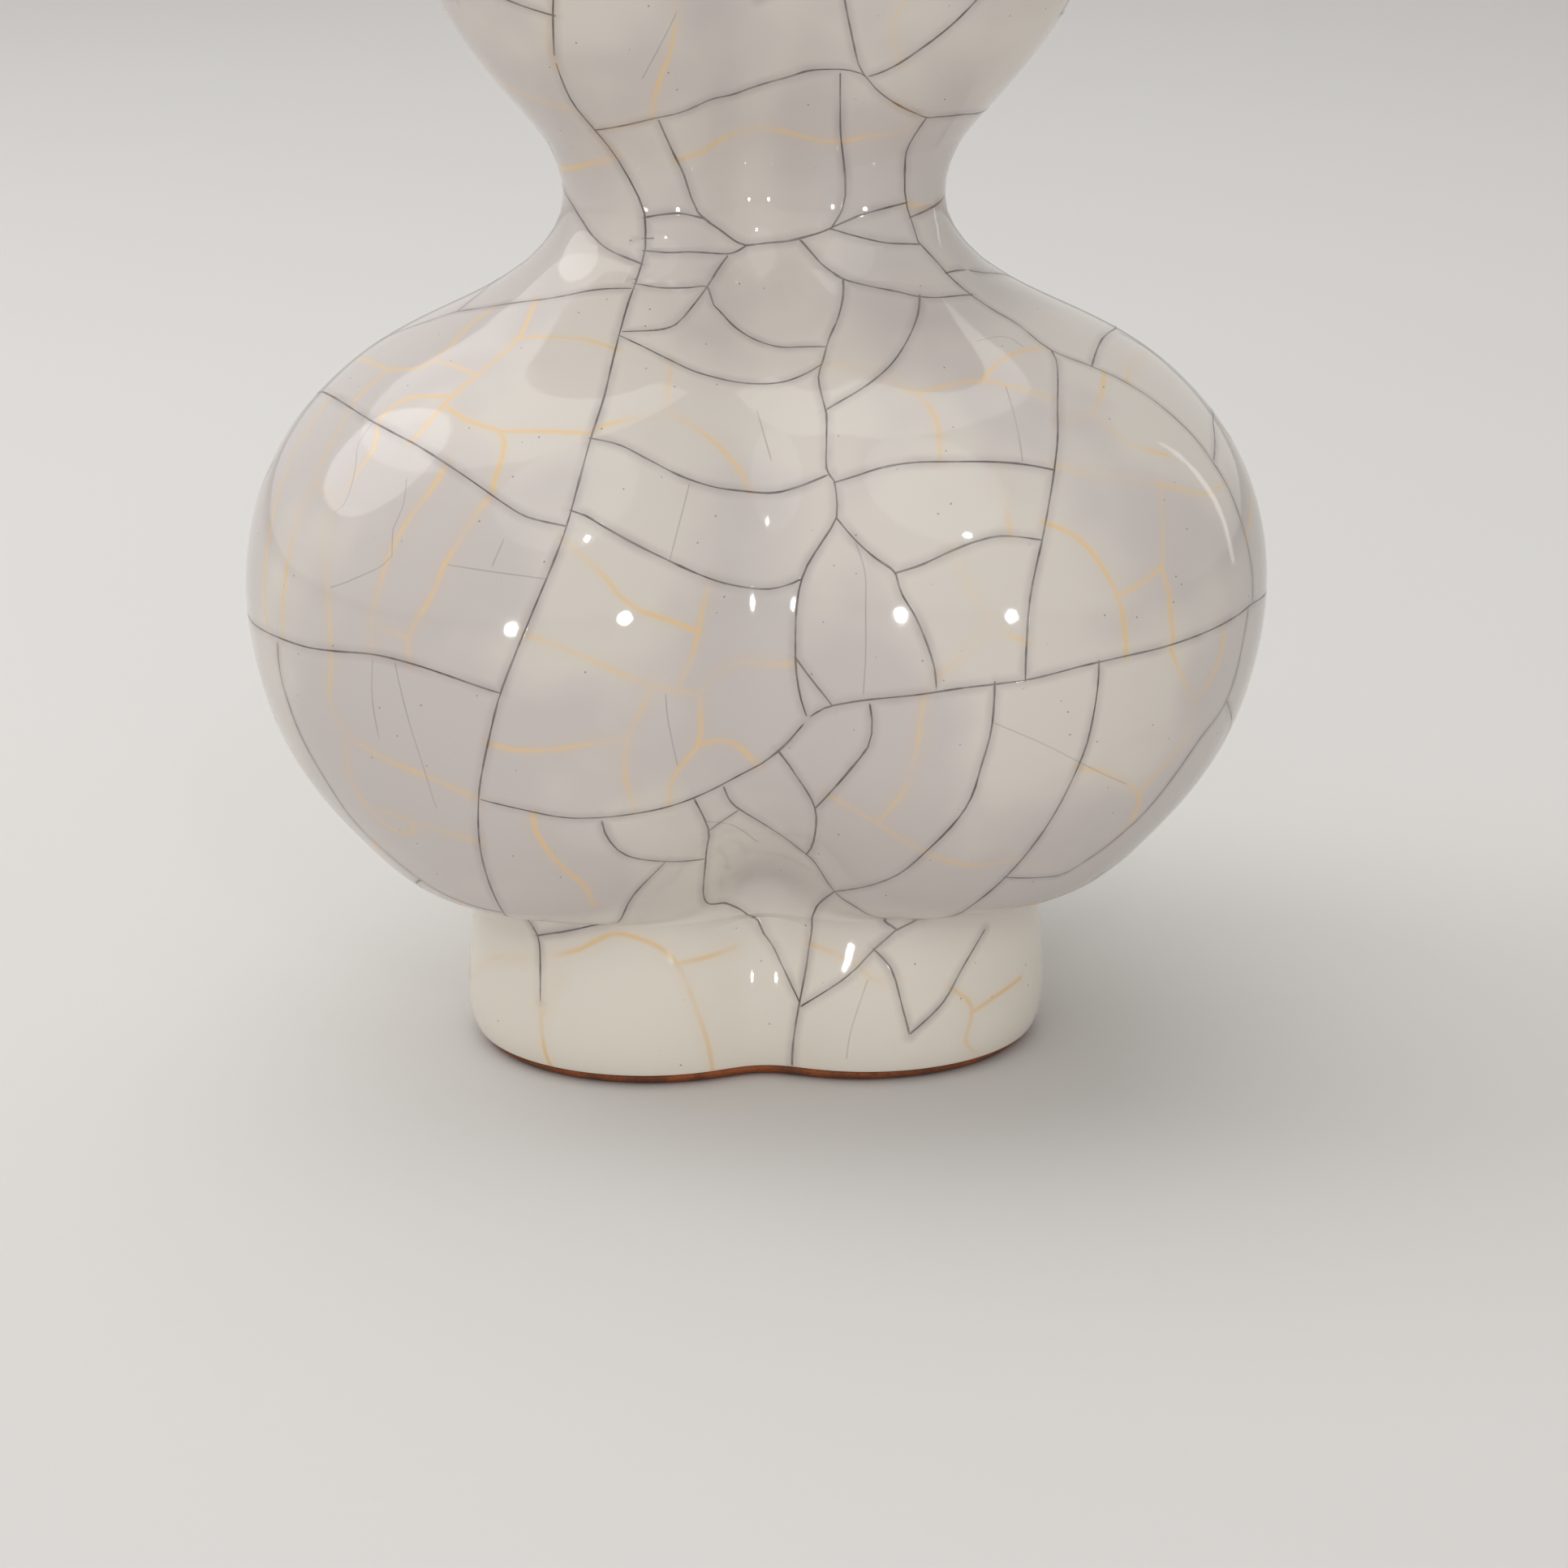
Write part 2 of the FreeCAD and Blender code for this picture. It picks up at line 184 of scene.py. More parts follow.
# Each soft panel's place, width, height and share of the soft light
PANELS = {
    "panel_above": ((-0.25, 0.32, 1.15), 1.7, 1.7, 1.0),
    "panel_left": ((-0.80, 0.20, 0.72), 0.7, 0.7, 0.30),
    "panel_front": ((-0.10, -1.05, 1.25), 1.3, 1.3, 0.40),
    "panel_right": ((0.85, 0.38, 0.26), 0.05, 0.7, 0.02),
}

# Points picked on the photograph, in its pixels, along each grey crack of the glaze
DARK_CRACKS_PX = [
    [(683, 75), (703, 124), (733, 160), (749, 178), (760, 194), (781, 228), (794, 260), (796, 289),
     (795, 310), (787, 339), (774, 374), (764, 410), (756, 439), (744, 489), (728, 539), (713, 594),
     (698, 648), (682, 692), (664, 735), (645, 781), (630, 818), (614, 862), (602, 911), (593, 954),
     (589, 986), (590, 1039), (600, 1082), (617, 1120)],
    [(733, 160), (767, 155), (803, 147), (839, 139), (874, 124), (910, 114), (964, 97), (999, 87),
     (1035, 86), (1056, 90), (1067, 96), (1081, 112), (1103, 128), (1128, 140), (1142, 145),
     (1160, 144), (1189, 141), (1212, 137)],
    [(1142, 145), (1128, 164), (1117, 185), (1113, 214), (1114, 249), (1121, 274), (1131, 303),
     (1149, 321), (1171, 343), (1196, 364), (1226, 385), (1254, 401), (1296, 430), (1346, 450),
     (1382, 466), (1415, 486), (1449, 513), (1475, 539), (1497, 569), (1515, 599), (1532, 642),
     (1542, 682), (1546, 712), (1546, 743)],
    [(1040, 0), (1048, 40), (1058, 81), (1065, 95)],
    [(1205, 0), (1170, 35), (1131, 64), (1110, 78), (1089, 89), (1067, 96)],
    [(1036, 88), (1035, 131), (1036, 167), (1040, 203), (1042, 235), (1037, 260), (1024, 282)],
    [(812, 151), (828, 185), (842, 214), (855, 253), (867, 269), (889, 285), (906, 298), (919, 303)],
    [(795, 265), (817, 264), (839, 263), (867, 269)],
    [(794, 310), (821, 312), (846, 311), (898, 313), (919, 303)],
    [(898, 313), (885, 331), (871, 354), (853, 378), (835, 399), (817, 407), (792, 409), (764, 410)],
    [(783, 352), (814, 355), (846, 355), (871, 354), (878, 374), (889, 387), (906, 405), (931, 419),
     (960, 427), (989, 427), (1017, 426)],
    [(919, 303), (946, 300), (967, 298), (985, 294), (1010, 287), (1035, 276), (1060, 265), (1089, 256),
     (1114, 251)],
    [(987, 294), (999, 310), (1017, 330), (1039, 344), (1071, 353), (1106, 360), (1133, 366),
     (1160, 367), (1196, 365)],
    [(1039, 344), (1039, 364), (1033, 392), (1022, 417), (1014, 442), (1008, 464), (1014, 494),
     (1018, 510), (1018, 541), (1018, 577), (1028, 594), (1030, 613), (1030, 638), (1013, 667),
     (996, 694), (986, 720), (981, 754), (980, 794), (981, 826), (986, 858), (995, 886)],
    [(1024, 282), (1046, 289), (1071, 296), (1096, 301), (1131, 302)],
    [(1133, 367), (1131, 387), (1121, 414), (1105, 439), (1085, 460), (1056, 481), (1018, 503)],
    [(699, 231), (714, 260), (731, 289), (753, 310), (787, 328)],
    [(498, 404), (529, 394), (559, 386), (596, 381), (660, 371), (696, 365), (731, 358), (778, 356)],
    [(764, 413), (785, 424), (821, 440), (856, 456), (892, 467), (928, 472), (964, 470), (992, 460),
     (1012, 445)],
    [(1167, 338), (1186, 334), (1214, 337), (1242, 341), (1260, 350)],
    [(400, 483), (443, 509), (480, 530), (514, 548), (550, 571), (584, 594), (621, 620), (651, 637),
     (697, 650)],
    [(308, 767), (336, 784), (376, 798), (412, 803), (458, 807), (504, 818), (550, 833), (615, 857)],
    [(339, 786), (341, 815), (345, 839), (351, 860), (363, 895), (380, 930)],
    [(703, 625), (724, 636), (740, 646), (779, 668), (819, 688), (858, 706), (894, 719), (941, 726),
     (970, 721), (986, 716)],
    [(732, 539), (763, 547), (799, 565), (838, 585), (878, 599), (917, 605), (953, 607), (985, 599),
     (1018, 583)],
    [(1029, 594), (1056, 585), (1088, 575), (1127, 569), (1174, 568), (1222, 568), (1261, 571),
     (1301, 578)],
    [(1030, 638), (1052, 664), (1076, 686), (1103, 706), (1109, 729), (1130, 765), (1150, 818),
     (1157, 853)],
    [(1103, 706), (1135, 696), (1174, 678), (1206, 666), (1238, 660), (1285, 664)],
    [(1296, 430), (1303, 446), (1304, 496), (1304, 539), (1300, 578), (1293, 622), (1285, 665),
     (1276, 705), (1269, 745), (1265, 805), (1264, 838)],
    [(1347, 450), (1351, 433), (1359, 416), (1372, 405)],
    [(1497, 504), (1498, 529), (1497, 566)],
    [(995, 886), (1009, 876), (1025, 870), (1070, 863), (1130, 857), (1183, 849), (1226, 844),
     (1264, 839), (1299, 831), (1336, 821), (1389, 809), (1432, 799), (1469, 787), (1502, 773),
     (1528, 758), (1546, 744), (1561, 733)],
    [(981, 811), (999, 836), (1016, 858), (1025, 870)],
    [(995, 886), (974, 911), (959, 926), (934, 944), (891, 967), (856, 985), (820, 997), (784, 1004),
     (741, 1009), (695, 1009), (641, 999), (589, 986)],
    [(959, 926), (977, 951), (1004, 997), (1002, 1038), (997, 1054)],
    [(1073, 863), (1074, 890), (1070, 919), (1049, 947), (1024, 976), (1004, 997)],
    [(1356, 816), (1354, 845), (1346, 895), (1338, 925), (1320, 967), (1287, 1025), (1239, 1082),
     (1191, 1121)],
    [(1226, 844), (1225, 871), (1221, 905), (1210, 943), (1191, 996), (1143, 1049), (1100, 1082),
     (1032, 1098)],
    [(1540, 752), (1533, 795), (1525, 831), (1510, 871), (1480, 912), (1448, 958), (1416, 998),
     (1380, 1032)],
    [(739, 1009), (749, 1034), (773, 1056), (821, 1063), (870, 1060)],
    [(857, 985), (874, 1025), (871, 1054), (869, 1109), (895, 1113), (922, 1128), (951, 1164),
     (985, 1235)],
    [(874, 1025), (912, 998)],
    [(888, 969), (899, 986), (912, 998), (951, 1023), (984, 1046), (1002, 1062), (1028, 1099),
     (1060, 1122), (1105, 1146)],
    [(1028, 1099), (1003, 1124), (992, 1196), (985, 1235), (978, 1276), (976, 1310)],
    [(985, 1240), (1043, 1204), (1077, 1170), (1105, 1146)],
    [(1077, 1170), (1099, 1196), (1112, 1241), (1124, 1290)],
    [(1212, 1147), (1186, 1193), (1162, 1236), (1121, 1275)],
    [(765, 1133), (782, 1102), (816, 1068)],
    [(657, 1142), (665, 1164), (665, 1231)],
]

# The same for the finest cracks, which hold little stain
FINE_CRACKS_PX = [
    [(449, 527), (440, 545), (437, 570), (432, 594), (422, 622), (417, 634)],
    [(487, 820), (500, 880), (521, 948), (539, 1003)],
    [(459, 816), (457, 861), (466, 912)],
    [(548, 692), (603, 704), (681, 717)],
    [(619, 667), (605, 706)],
    [(1207, 891), (1297, 923), (1404, 955)],
    [(1062, 1213), (1049, 1268), (1043, 1304)],
    [(933, 506), (941, 534), (951, 569)],
    [(848, 597), (838, 644), (827, 684)],
    [(1234, 486), (1254, 526), (1261, 553)],
    [(1052, 661), (1065, 704), (1066, 747), (1066, 808), (1061, 858)],
    [(820, 851), (824, 890), (824, 944)],
    [(500, 585), (496, 620), (482, 655), (478, 690), (430, 715), (400, 722)],
    [(880, 1010), (905, 1018), (935, 1040)],
    [(1205, 420), (1240, 415), (1262, 425)],
    [(830, 18), (812, 60), (790, 100)],
]

# The same for the amber cracks, whose stain is softer and wider
GOLD_CRACKS_PX = [
    [(835, 0), (828, 60), (817, 89), (808, 117), (803, 146)],
    [(665, 0), (675, 50), (687, 89)],
    [(733, 160), (767, 155), (803, 147)],
    [(733, 160), (749, 178), (760, 194), (731, 199), (703, 206)],
    [(620, 104), (660, 124), (685, 131), (714, 137)],
    [(831, 199), (860, 189), (889, 171), (910, 162), (935, 157), (964, 161), (999, 170), (1035, 174),
     (1071, 167), (1106, 164), (1135, 150)],
    [(1103, 128), (1128, 140), (1150, 144)],
    [(1115, 253), (1139, 256), (1158, 255)],
    [(1115, 0), (1100, 35), (1106, 72)],
    [(645, 415), (696, 417), (724, 420), (757, 428)],
    [(657, 380), (645, 408), (633, 423), (611, 441), (587, 461), (566, 478), (550, 493), (523, 524),
     (507, 542)],
    [(452, 443), (474, 452), (498, 453), (523, 450), (538, 438), (553, 426), (581, 400), (611, 382)],
    [(541, 443), (559, 449), (586, 460)],
    [(480, 453), (455, 472), (437, 490), (425, 512), (406, 545), (391, 576), (382, 597), (370, 625),
     (360, 656), (351, 698), (347, 732), (347, 778)],
    [(556, 488), (517, 487), (498, 490), (477, 504), (466, 518), (461, 548), (446, 570), (431, 591),
     (406, 631), (400, 665), (399, 701), (402, 741), (405, 778), (406, 815), (404, 860), (412, 885),
     (425, 905), (470, 935), (530, 960), (588, 986)],
    [(385, 592), (394, 600), (412, 618)],
    [(550, 574), (532, 600), (510, 628), (492, 656), (477, 686), (465, 726), (457, 763), (455, 805)],
    [(604, 612), (581, 640), (566, 665), (547, 695), (535, 726), (517, 757), (501, 787), (503, 815)],
    [(544, 500), (572, 515), (596, 524), (615, 530), (621, 545), (618, 564), (608, 594), (604, 610)],
    [(615, 530), (657, 530), (732, 531)],
    [(394, 502), (367, 545), (351, 579), (339, 613), (330, 656), (324, 701), (324, 747)],
    [(457, 773), (480, 778), (501, 787)],
    [(702, 669), (724, 690), (749, 715), (766, 736), (791, 753), (820, 763), (857, 774)],
    [(649, 783), (688, 797), (731, 815), (770, 833), (806, 845), (834, 851), (863, 854), (877, 836),
     (899, 820), (920, 815), (952, 819), (966, 815)],
    [(875, 717), (866, 754), (858, 794), (849, 822), (836, 851)],
    [(863, 854), (864, 890), (861, 919), (841, 944), (827, 969), (824, 997)],
    [(861, 919), (884, 913), (909, 919), (938, 942)],
    [(806, 848), (791, 876), (774, 911), (770, 944), (774, 972), (786, 1003)],
    [(604, 917), (641, 926), (688, 924), (731, 917), (774, 911)],
    [(1012, 447), (1044, 450), (1076, 456), (1099, 468), (1127, 482), (1167, 474), (1210, 468),
     (1254, 476), (1303, 492)],
    [(1127, 482), (1147, 502), (1157, 530), (1161, 567)],
    [(1210, 468), (1234, 443), (1261, 431), (1293, 428)],
    [(1229, 570), (1234, 605), (1242, 636), (1246, 659)],
    [(823, 447), (823, 478), (827, 506), (858, 526), (886, 549), (910, 577), (925, 604)],
    [(736, 526), (763, 518), (795, 512), (827, 506)],
    [(1177, 680), (1190, 712), (1203, 738), (1218, 758), (1213, 778), (1190, 805), (1157, 831)],
    [(1218, 765), (1233, 778), (1264, 790)],
    [(1303, 573), (1336, 581), (1369, 586), (1402, 591), (1432, 596), (1465, 604), (1495, 607),
     (1512, 596)],
    [(1432, 597), (1435, 639), (1434, 698), (1442, 728), (1445, 762), (1450, 793)],
    [(1289, 643), (1316, 655), (1339, 672), (1359, 698), (1376, 728), (1386, 762), (1388, 808)],
    [(1434, 698), (1409, 718), (1379, 735)],
    [(1362, 458), (1359, 483), (1349, 503), (1339, 511), (1306, 517)],
    [(1349, 507), (1376, 533), (1399, 548), (1440, 560)],
    [(1412, 433), (1396, 450), (1386, 466)],
    [(1442, 800), (1455, 828), (1469, 858), (1472, 895), (1445, 935), (1404, 980)],
    [(1330, 945), (1365, 955), (1404, 980), (1395, 1015), (1380, 1040)],
    [(1545, 602), (1543, 639), (1537, 662)],
    [(1140, 860), (1130, 920), (1116, 972), (1099, 994), (1080, 1012)],
    [(1023, 984), (1080, 1016), (1138, 1051), (1191, 1067), (1258, 1058)],
    [(657, 1003), (662, 1030), (691, 1068), (720, 1092), (732, 1116)],
    [(470, 1000), (520, 1018), (566, 1032), (589, 1037)],
    [(425, 905), (430, 960), (455, 1000)],
    [(590, 1193), (609, 1181), (657, 1181), (710, 1171), (758, 1151), (806, 1164), (835, 1188),
     (854, 1231), (871, 1280), (878, 1318)],
    [(835, 1186), (874, 1179), (905, 1168)],
    [(1008, 1164), (1047, 1183), (1076, 1207), (1104, 1207)],
    [(1176, 1217), (1196, 1236), (1198, 1255), (1191, 1284), (1205, 1299)],
    [(1197, 1250), (1229, 1227), (1258, 1205)],
    [(665, 1225), (669, 1289), (677, 1311)],
    [(689, 1203), (672, 1256)],
    [(1512, 769), (1504, 817), (1483, 859)],
]


def seen(red, green, blue):
    """A colour as a screen shows it, from 0 to 255, in the linear form that materials take."""
    shares = [value / 255 for value in (red, green, blue)]
    return tuple(s / 12.92 if s <= 0.04045 else ((s + 0.055) / 1.055) ** 2.4 for s in shares)


def length_setting(name, text, default):
    return bpy.props.FloatProperty(name=name, description=text, default=default, min=0, unit="LENGTH",
                                   precision=5)


def colour_setting(name, text, default):
    return bpy.props.FloatVectorProperty(name=name, description=text, default=default, subtype="COLOR",
                                         min=0, max=1)


def plain_setting(name, text, default, **more):
    return bpy.props.FloatProperty(name=name, description=text, default=default, **more)


class VaseForm(bpy.types.PropertyGroup):
    """Sizes of the vase's outside, the same as in the construction."""

    height: length_setting("Height", "From the foot to the lip", CAD_BOX[1].z)
    foot_height: length_setting("Foot height", "Up to the underside of the lower bulb", 24 * MM)
    foot_rim_half_width: length_setting("Rim half width", "Axis to lobe where the foot stands", 38.8 * MM)
    foot_half_width: length_setting("Foot half width", "Axis to lobe where the foot is widest", 41.8 * MM)
    foot_top_half_width: length_setting("Foot top half width", "Axis to lobe under the lower bulb", 40.8 * MM)
    lower_bulb_half_width: length_setting("Lower bulb half width", "Axis to lobe at the equator", 71.6 * MM)
    lower_equator_height: length_setting("Lower equator height", "Where the lower bulb is widest", 69.6 * MM)
    saddle_rise: length_setting("Saddle rise", "How far the foot rises into the grooves", 8.0 * MM)
    saddle_softness: length_setting("Saddle softness", "Where foot and bulb run together there", 1.0 * MM)
    waist_half_width: length_setting("Waist half width", "Axis to lobe at the waist", 26.0 * MM)
    waist_height: length_setting("Waist height", "Where the waist is narrowest", 122.4 * MM)
    upper_bulb_half_width: length_setting("Upper bulb half width", "Axis to lobe at the equator", 45.0 * MM)
    upper_equator_height: length_setting("Upper equator height", "Where the upper bulb is widest", 154.6 * MM)
    neck_half_width: length_setting("Neck half width", "Axis to lobe at the neck", 13.6 * MM)
    neck_height: length_setting("Neck height", "Where the neck is narrowest", 192.0 * MM)
    mouth_half_width: length_setting("Mouth half width", "Axis to lobe at the lip", 15.0 * MM)
    wall: length_setting("Wall", "Glaze, clay and lining of the bulbs together", 5.8 * MM)
    mouth_wall: length_setting("Mouth wall", "Glaze, clay and lining at the mouth together", 3.7 * MM)
    glaze: length_setting("Glaze", "Thickness of the outer glaze", 0.8 * MM)
    lining: length_setting("Lining", "Thickness of the inner glaze", 0.5 * MM)
    bare_rim: length_setting("Bare rim", "Height of the rim that the glaze leaves bare", 1.4 * MM)
    lip_band: length_setting("Lip band", "Height of the thin glaze over the lip", 1.6 * MM)
    rim_width: length_setting("Rim width", "From the outside of the foot to its recess", 4.4 * MM)
    recess_depth: length_setting("Recess depth", "From the rim to the ceiling of the recess", 20.5 * MM)
    floor_height: length_setting("Floor height", "Where the lining of the lower bulb lies flat", 29.7 * MM)


class VaseGlaze(bpy.types.PropertyGroup):
    """Colours and crack widths of the vase's coats."""

    glaze: colour_setting("Glaze", "The crackle glaze where it is whitest", seen(218, 211, 202))
    cool_glaze: colour_setting("Cool glaze", "The patches where the glaze is greyer", seen(204, 196, 192))
    # The foot's glaze: creamier where it pools, and also painted lighter to make up for the shade under the
    # lower bulb
    warm_glaze_painted_lighter: colour_setting("Warm glaze", "The foot, where the glaze is creamier", seen(238, 231, 218))
    grey_crack: colour_setting("Grey crack", "The line of a dark crack", seen(84, 76, 74))
    grey_stain: colour_setting("Grey stain", "The shade beside a dark crack", seen(160, 150, 149))
    amber_crack: colour_setting("Amber crack", "The line of an amber crack", seen(236, 198, 136))
    lip: colour_setting("Lip", "The thin glaze over the lip", seen(122, 88, 60))
    slip: colour_setting("Slip", "The bare rim of the foot", seen(150, 76, 26))
    dark_slip: colour_setting("Dark slip", "The rim where it fired darkest", seen(96, 48, 18))
    clay: colour_setting("Clay", "The fired clay under the glaze", seen(176, 158, 138))
    grey_line: length_setting("Grey line", "Half the width of a dark crack", 0.12 * MM)
    grey_reach: length_setting("Grey reach", "How far the shade reaches beside it", 1.5 * MM)
    amber_reach: length_setting("Amber reach", "How far an amber stain reaches", 0.62 * MM)
    grey_gap: length_setting("Grey gap", "Most room between dark cracks the photo doesn't show", 13 * MM)
    amber_gap: length_setting("Amber gap", "Most room between all cracks there", 9 * MM)


class VaseStage(bpy.types.PropertyGroup):
    """The floor, the lamps and the camera."""

    floor: colour_setting("Floor", "The floor and the backdrop", seen(226, 224, 221))
    soft_light: plain_setting("Soft light", "Power of the largest soft panel", 7.0, min=0, unit="POWER")
    lamp_light: plain_setting("Lamp light", "Power of each small lamp", 0.028, min=0, unit="POWER")
    lamp_size: length_setting("Lamp size", "Width of each small lamp", 45 * MM)
    lamp_beam: plain_setting("Lamp beam", "How widely each small lamp shines", math.radians(50),
                             subtype="ANGLE")
    room_light: plain_setting("Room light", "Strength of the light from all round", 0.44, min=0)
    camera_distance: length_setting("Camera distance", "Level distance from the axis to the camera",
                                    660 * MM)
    camera_height: length_setting("Camera height", "Height of the camera over the floor", 239.4 * MM)
    camera_bearing: plain_setting("Camera bearing", "How far the camera stands to the left",
                                  math.radians(2.5), subtype="ANGLE")
    camera_yaw: plain_setting("Camera yaw", "How far it looks to the right of the axis", math.radians(0.39),
                              subtype="ANGLE")
    camera_dip: plain_setting("Camera dip", "How far it looks down", math.radians(17.3), subtype="ANGLE")
    camera_lens: plain_setting("Lens", "Focal length in millimetres", 109.2, min=1)


class Outline:
    """A level section of the vase: three lobes joined by three grooves, one groove facing the viewer."""

    def __init__(self, height, half_width, lobe_offset, groove_radius):
        self.height = height
        self.half_width = half_width
        self.lobe_offset = lobe_offset
        self.groove_radius = groove_radius
        self.beside = None
        self.softness = 0

    def reach(self, angle):
        """Distance from the axis to the wall at an angle in plan, softly joined to another outline's."""
        own = self.own_reach(angle)
        if not self.beside:
            return own
        other = self.beside.own_reach(angle)
        rest = self.softness - abs(own - other)
        return max(own, other) + (rest ** 2 / (4 * self.softness) if rest > 0 else 0)

    def own_reach(self, angle):
        """The same for this outline alone: an arc about a lobe's centre, or about a groove's."""
        aside = abs((angle - GROOVE_ANGLE + THIRD / 2) % THIRD - THIRD / 2)
        lobe_centre = self.lobe_offset / math.cos(LOBE_TILT)
        lobe_radius = self.half_width - self.lobe_offset
        between = lobe_radius + self.groove_radius
        groove_centre = lobe_centre / 2 + math.sqrt(between ** 2 - self.lobe_offset ** 2)
        touch_x = lobe_centre / 2 + (groove_centre - lobe_centre / 2) * lobe_radius / between
        touch_y = self.lobe_offset * self.groove_radius / between
        if aside < math.atan2(touch_y, touch_x):
            inner = self.groove_radius ** 2 - (groove_centre * math.sin(aside)) ** 2
            return groove_centre * math.cos(aside) - math.sqrt(max(inner, 0))
        aside = THIRD / 2 - aside
        outer = lobe_radius ** 2 - (lobe_centre * math.sin(aside)) ** 2
        return lobe_centre * math.cos(aside) + math.sqrt(outer)


def stretch(shares, low, high, width_at_zero, width_at_one):
    """Rows of height, half width, lobe offset, groove radius and thinning between two named places."""
    rows = []
    for rise, widening, lobe, groove, thinning in shares:
        half_width = width_at_zero + (width_at_one - width_at_zero) * widening
        rows.append((low + (high - low) * rise, half_width, lobe * half_width, groove * half_width, thinning))
    return rows


def foot_rows(form):
    widest = form.foot_height * FOOT_WIDEST_SHARE
    rows = stretch(FOOT_RIM_SHARES, 0, form.foot_height, form.foot_rim_half_width, form.foot_half_width)
    rows += stretch(FOOT_WALL_SHARES[:-1], widest, form.foot_height, form.foot_half_width,
                    form.foot_top_half_width)
    for rise, widening, lobe, groove in JOINT_FILLET_SHARES:
        half_width = form.foot_top_half_width * widening
        rows.append((form.foot_height * rise, half_width, lobe * half_width, groove * half_width, 0))
    return rows


def body_rows(form):
    rows = stretch(UNDERSIDE_SHARES[1:], form.foot_height, form.lower_equator_height,
                   form.foot_top_half_width, form.lower_bulb_half_width)
    rows += stretch(SHOULDER_SHARES, form.lower_equator_height, form.waist_height,
                    form.waist_half_width, form.lower_bulb_half_width)
    rows += stretch(UPPER_BULB_SHARES, form.waist_height, form.upper_equator_height,
                    form.waist_half_width, form.upper_bulb_half_width)
    rows += stretch(DOME_SHARES, form.upper_equator_height, form.neck_height,
                    form.neck_half_width, form.upper_bulb_half_width)
    rows += stretch(MOUTH_SHARES, form.neck_height, form.height, form.neck_half_width, form.mouth_half_width)
    return rows


def smooth_rows(rows):
    """Many rows on a smooth curve through a few."""
    points = np.array(rows)
    along = np.concatenate([[0], np.cumsum(np.hypot(*np.diff(points[:, :2], axis=0).T))])
    slopes = np.gradient(points, along, axis=0)
    fine = []
    for place in np.arange(0, along[-1], ROW_STEP):
        i = min(int(np.searchsorted(along, place, side="right")) - 1, len(along) - 2)
        span = along[i + 1] - along[i]
        t = (place - along[i]) / span
        start, end = points[i], points[i + 1]
        lean_in, lean_out = slopes[i] * span, slopes[i + 1] * span
        fine.append(start + t * (lean_in + t * (3 * (end - start) - 2 * lean_in - lean_out
                                                + t * (2 * (start - end) + lean_in + lean_out))))
    return np.array(fine + [points[-1]])


def thinned(rows, depth_of):
    """The same rows moved inwards, square to the wall, by a depth."""
    steps = np.gradient(rows[:, :2], axis=0)
    steps /= np.hypot(steps[:, 0], steps[:, 1])[:, None]
    depths = np.array([depth_of(row) for row in rows])
    moved = rows.copy()
    moved[:, 0] += depths * steps[:, 1]
    moved[:, 1] -= depths * steps[:, 0]
    moved[:, 3] += depths * steps[:, 0]
    return moved


def picked(rows, count):
    """A few of many rows, closer together where the wall bends."""
    steps = np.diff(rows[:, :2], axis=0)
    lengths = np.hypot(steps[:, 0], steps[:, 1])
    lengths[(rows[1:, 0] > SADDLE_FROM) & (rows[1:, 0] < SADDLE_TO)] *= SADDLE_DETAIL
    bends = np.abs(np.diff(np.unwrap(np.arctan2(steps[:, 1], steps[:, 0]))))
    weight = np.concatenate([[0], np.cumsum(lengths / BEND_LENGTH + np.concatenate([[0], bends]))])
    places = {int(np.searchsorted(weight, w)) for w in np.linspace(0, weight[-1], count)}
    places = {min(place, len(rows) - 1) for place in places} | {2, len(rows) - 3}
    return [Outline(*rows[place][:4]) for place in sorted(places)]


def join_foot(form, outlines, depth):
    """Lets the top of the foot show in the grooves, where the lower bulb draws in behind it."""
    lobe, groove = FOOT_WALL_SHARES[-1][2:4]
    for outline in outlines:
        rise = (outline.height - form.foot_height) / form.saddle_rise
        if -0.2 < rise < 1:
            half_width = form.foot_top_half_width * (1 - SADDLE_LEAN * max(rise, 0))
            outline.beside = Outline(outline.height, half_width - depth, lobe * half_width,
                                     groove * half_width + depth)
            outline.softness = form.saddle_softness * min(max(rise * 4, 0), 1)
    return outlines


def lobed_piece(name, outlines, ring_closed, detail=2, spokes=SPOKES):
    """A closed solid that runs through level outlines in turn, as its own object."""
    bm = bmesh.new()
    ring = bmesh.ops.create_circle(bm, cap_ends=False, radius=1, segments=spokes)["verts"]
    first = ends = list(bm.edges)
    for number, outline in enumerate(outlines):
        if number:
            made = bmesh.ops.extrude_edge_only(bm, edges=ends)["geom"]
            ring = [part for part in made if isinstance(part, bmesh.types.BMVert)]
            known = set(ring)
            ends = [part for part in made
                    if isinstance(part, bmesh.types.BMEdge) and known.issuperset(part.verts)]
        for vert in ring:
            angle = math.atan2(vert.co.y - (AXIS.y if number else 0), vert.co.x)
            reach = outline.reach(angle)
            vert.co = AXIS + Vector((reach * math.cos(angle), reach * math.sin(angle), outline.height))
    if ring_closed:
        bmesh.ops.bridge_loops(bm, edges=first + ends)
    else:
        bmesh.ops.edgeloop_fill(bm, edges=first)
        bmesh.ops.edgeloop_fill(bm, edges=ends)
    bmesh.ops.recalc_face_normals(bm, faces=bm.faces)
    mesh = bpy.data.meshes.new(name)
    bm.to_mesh(mesh)
    bm.free()
    mesh.shade_smooth()
    piece = bpy.data.objects.new(name, mesh)
    bpy.context.scene.collection.objects.link(piece)
    smoothing = piece.modifiers.new("Smoothing", "SUBSURF")
    smoothing.levels = smoothing.render_levels = detail
    return piece


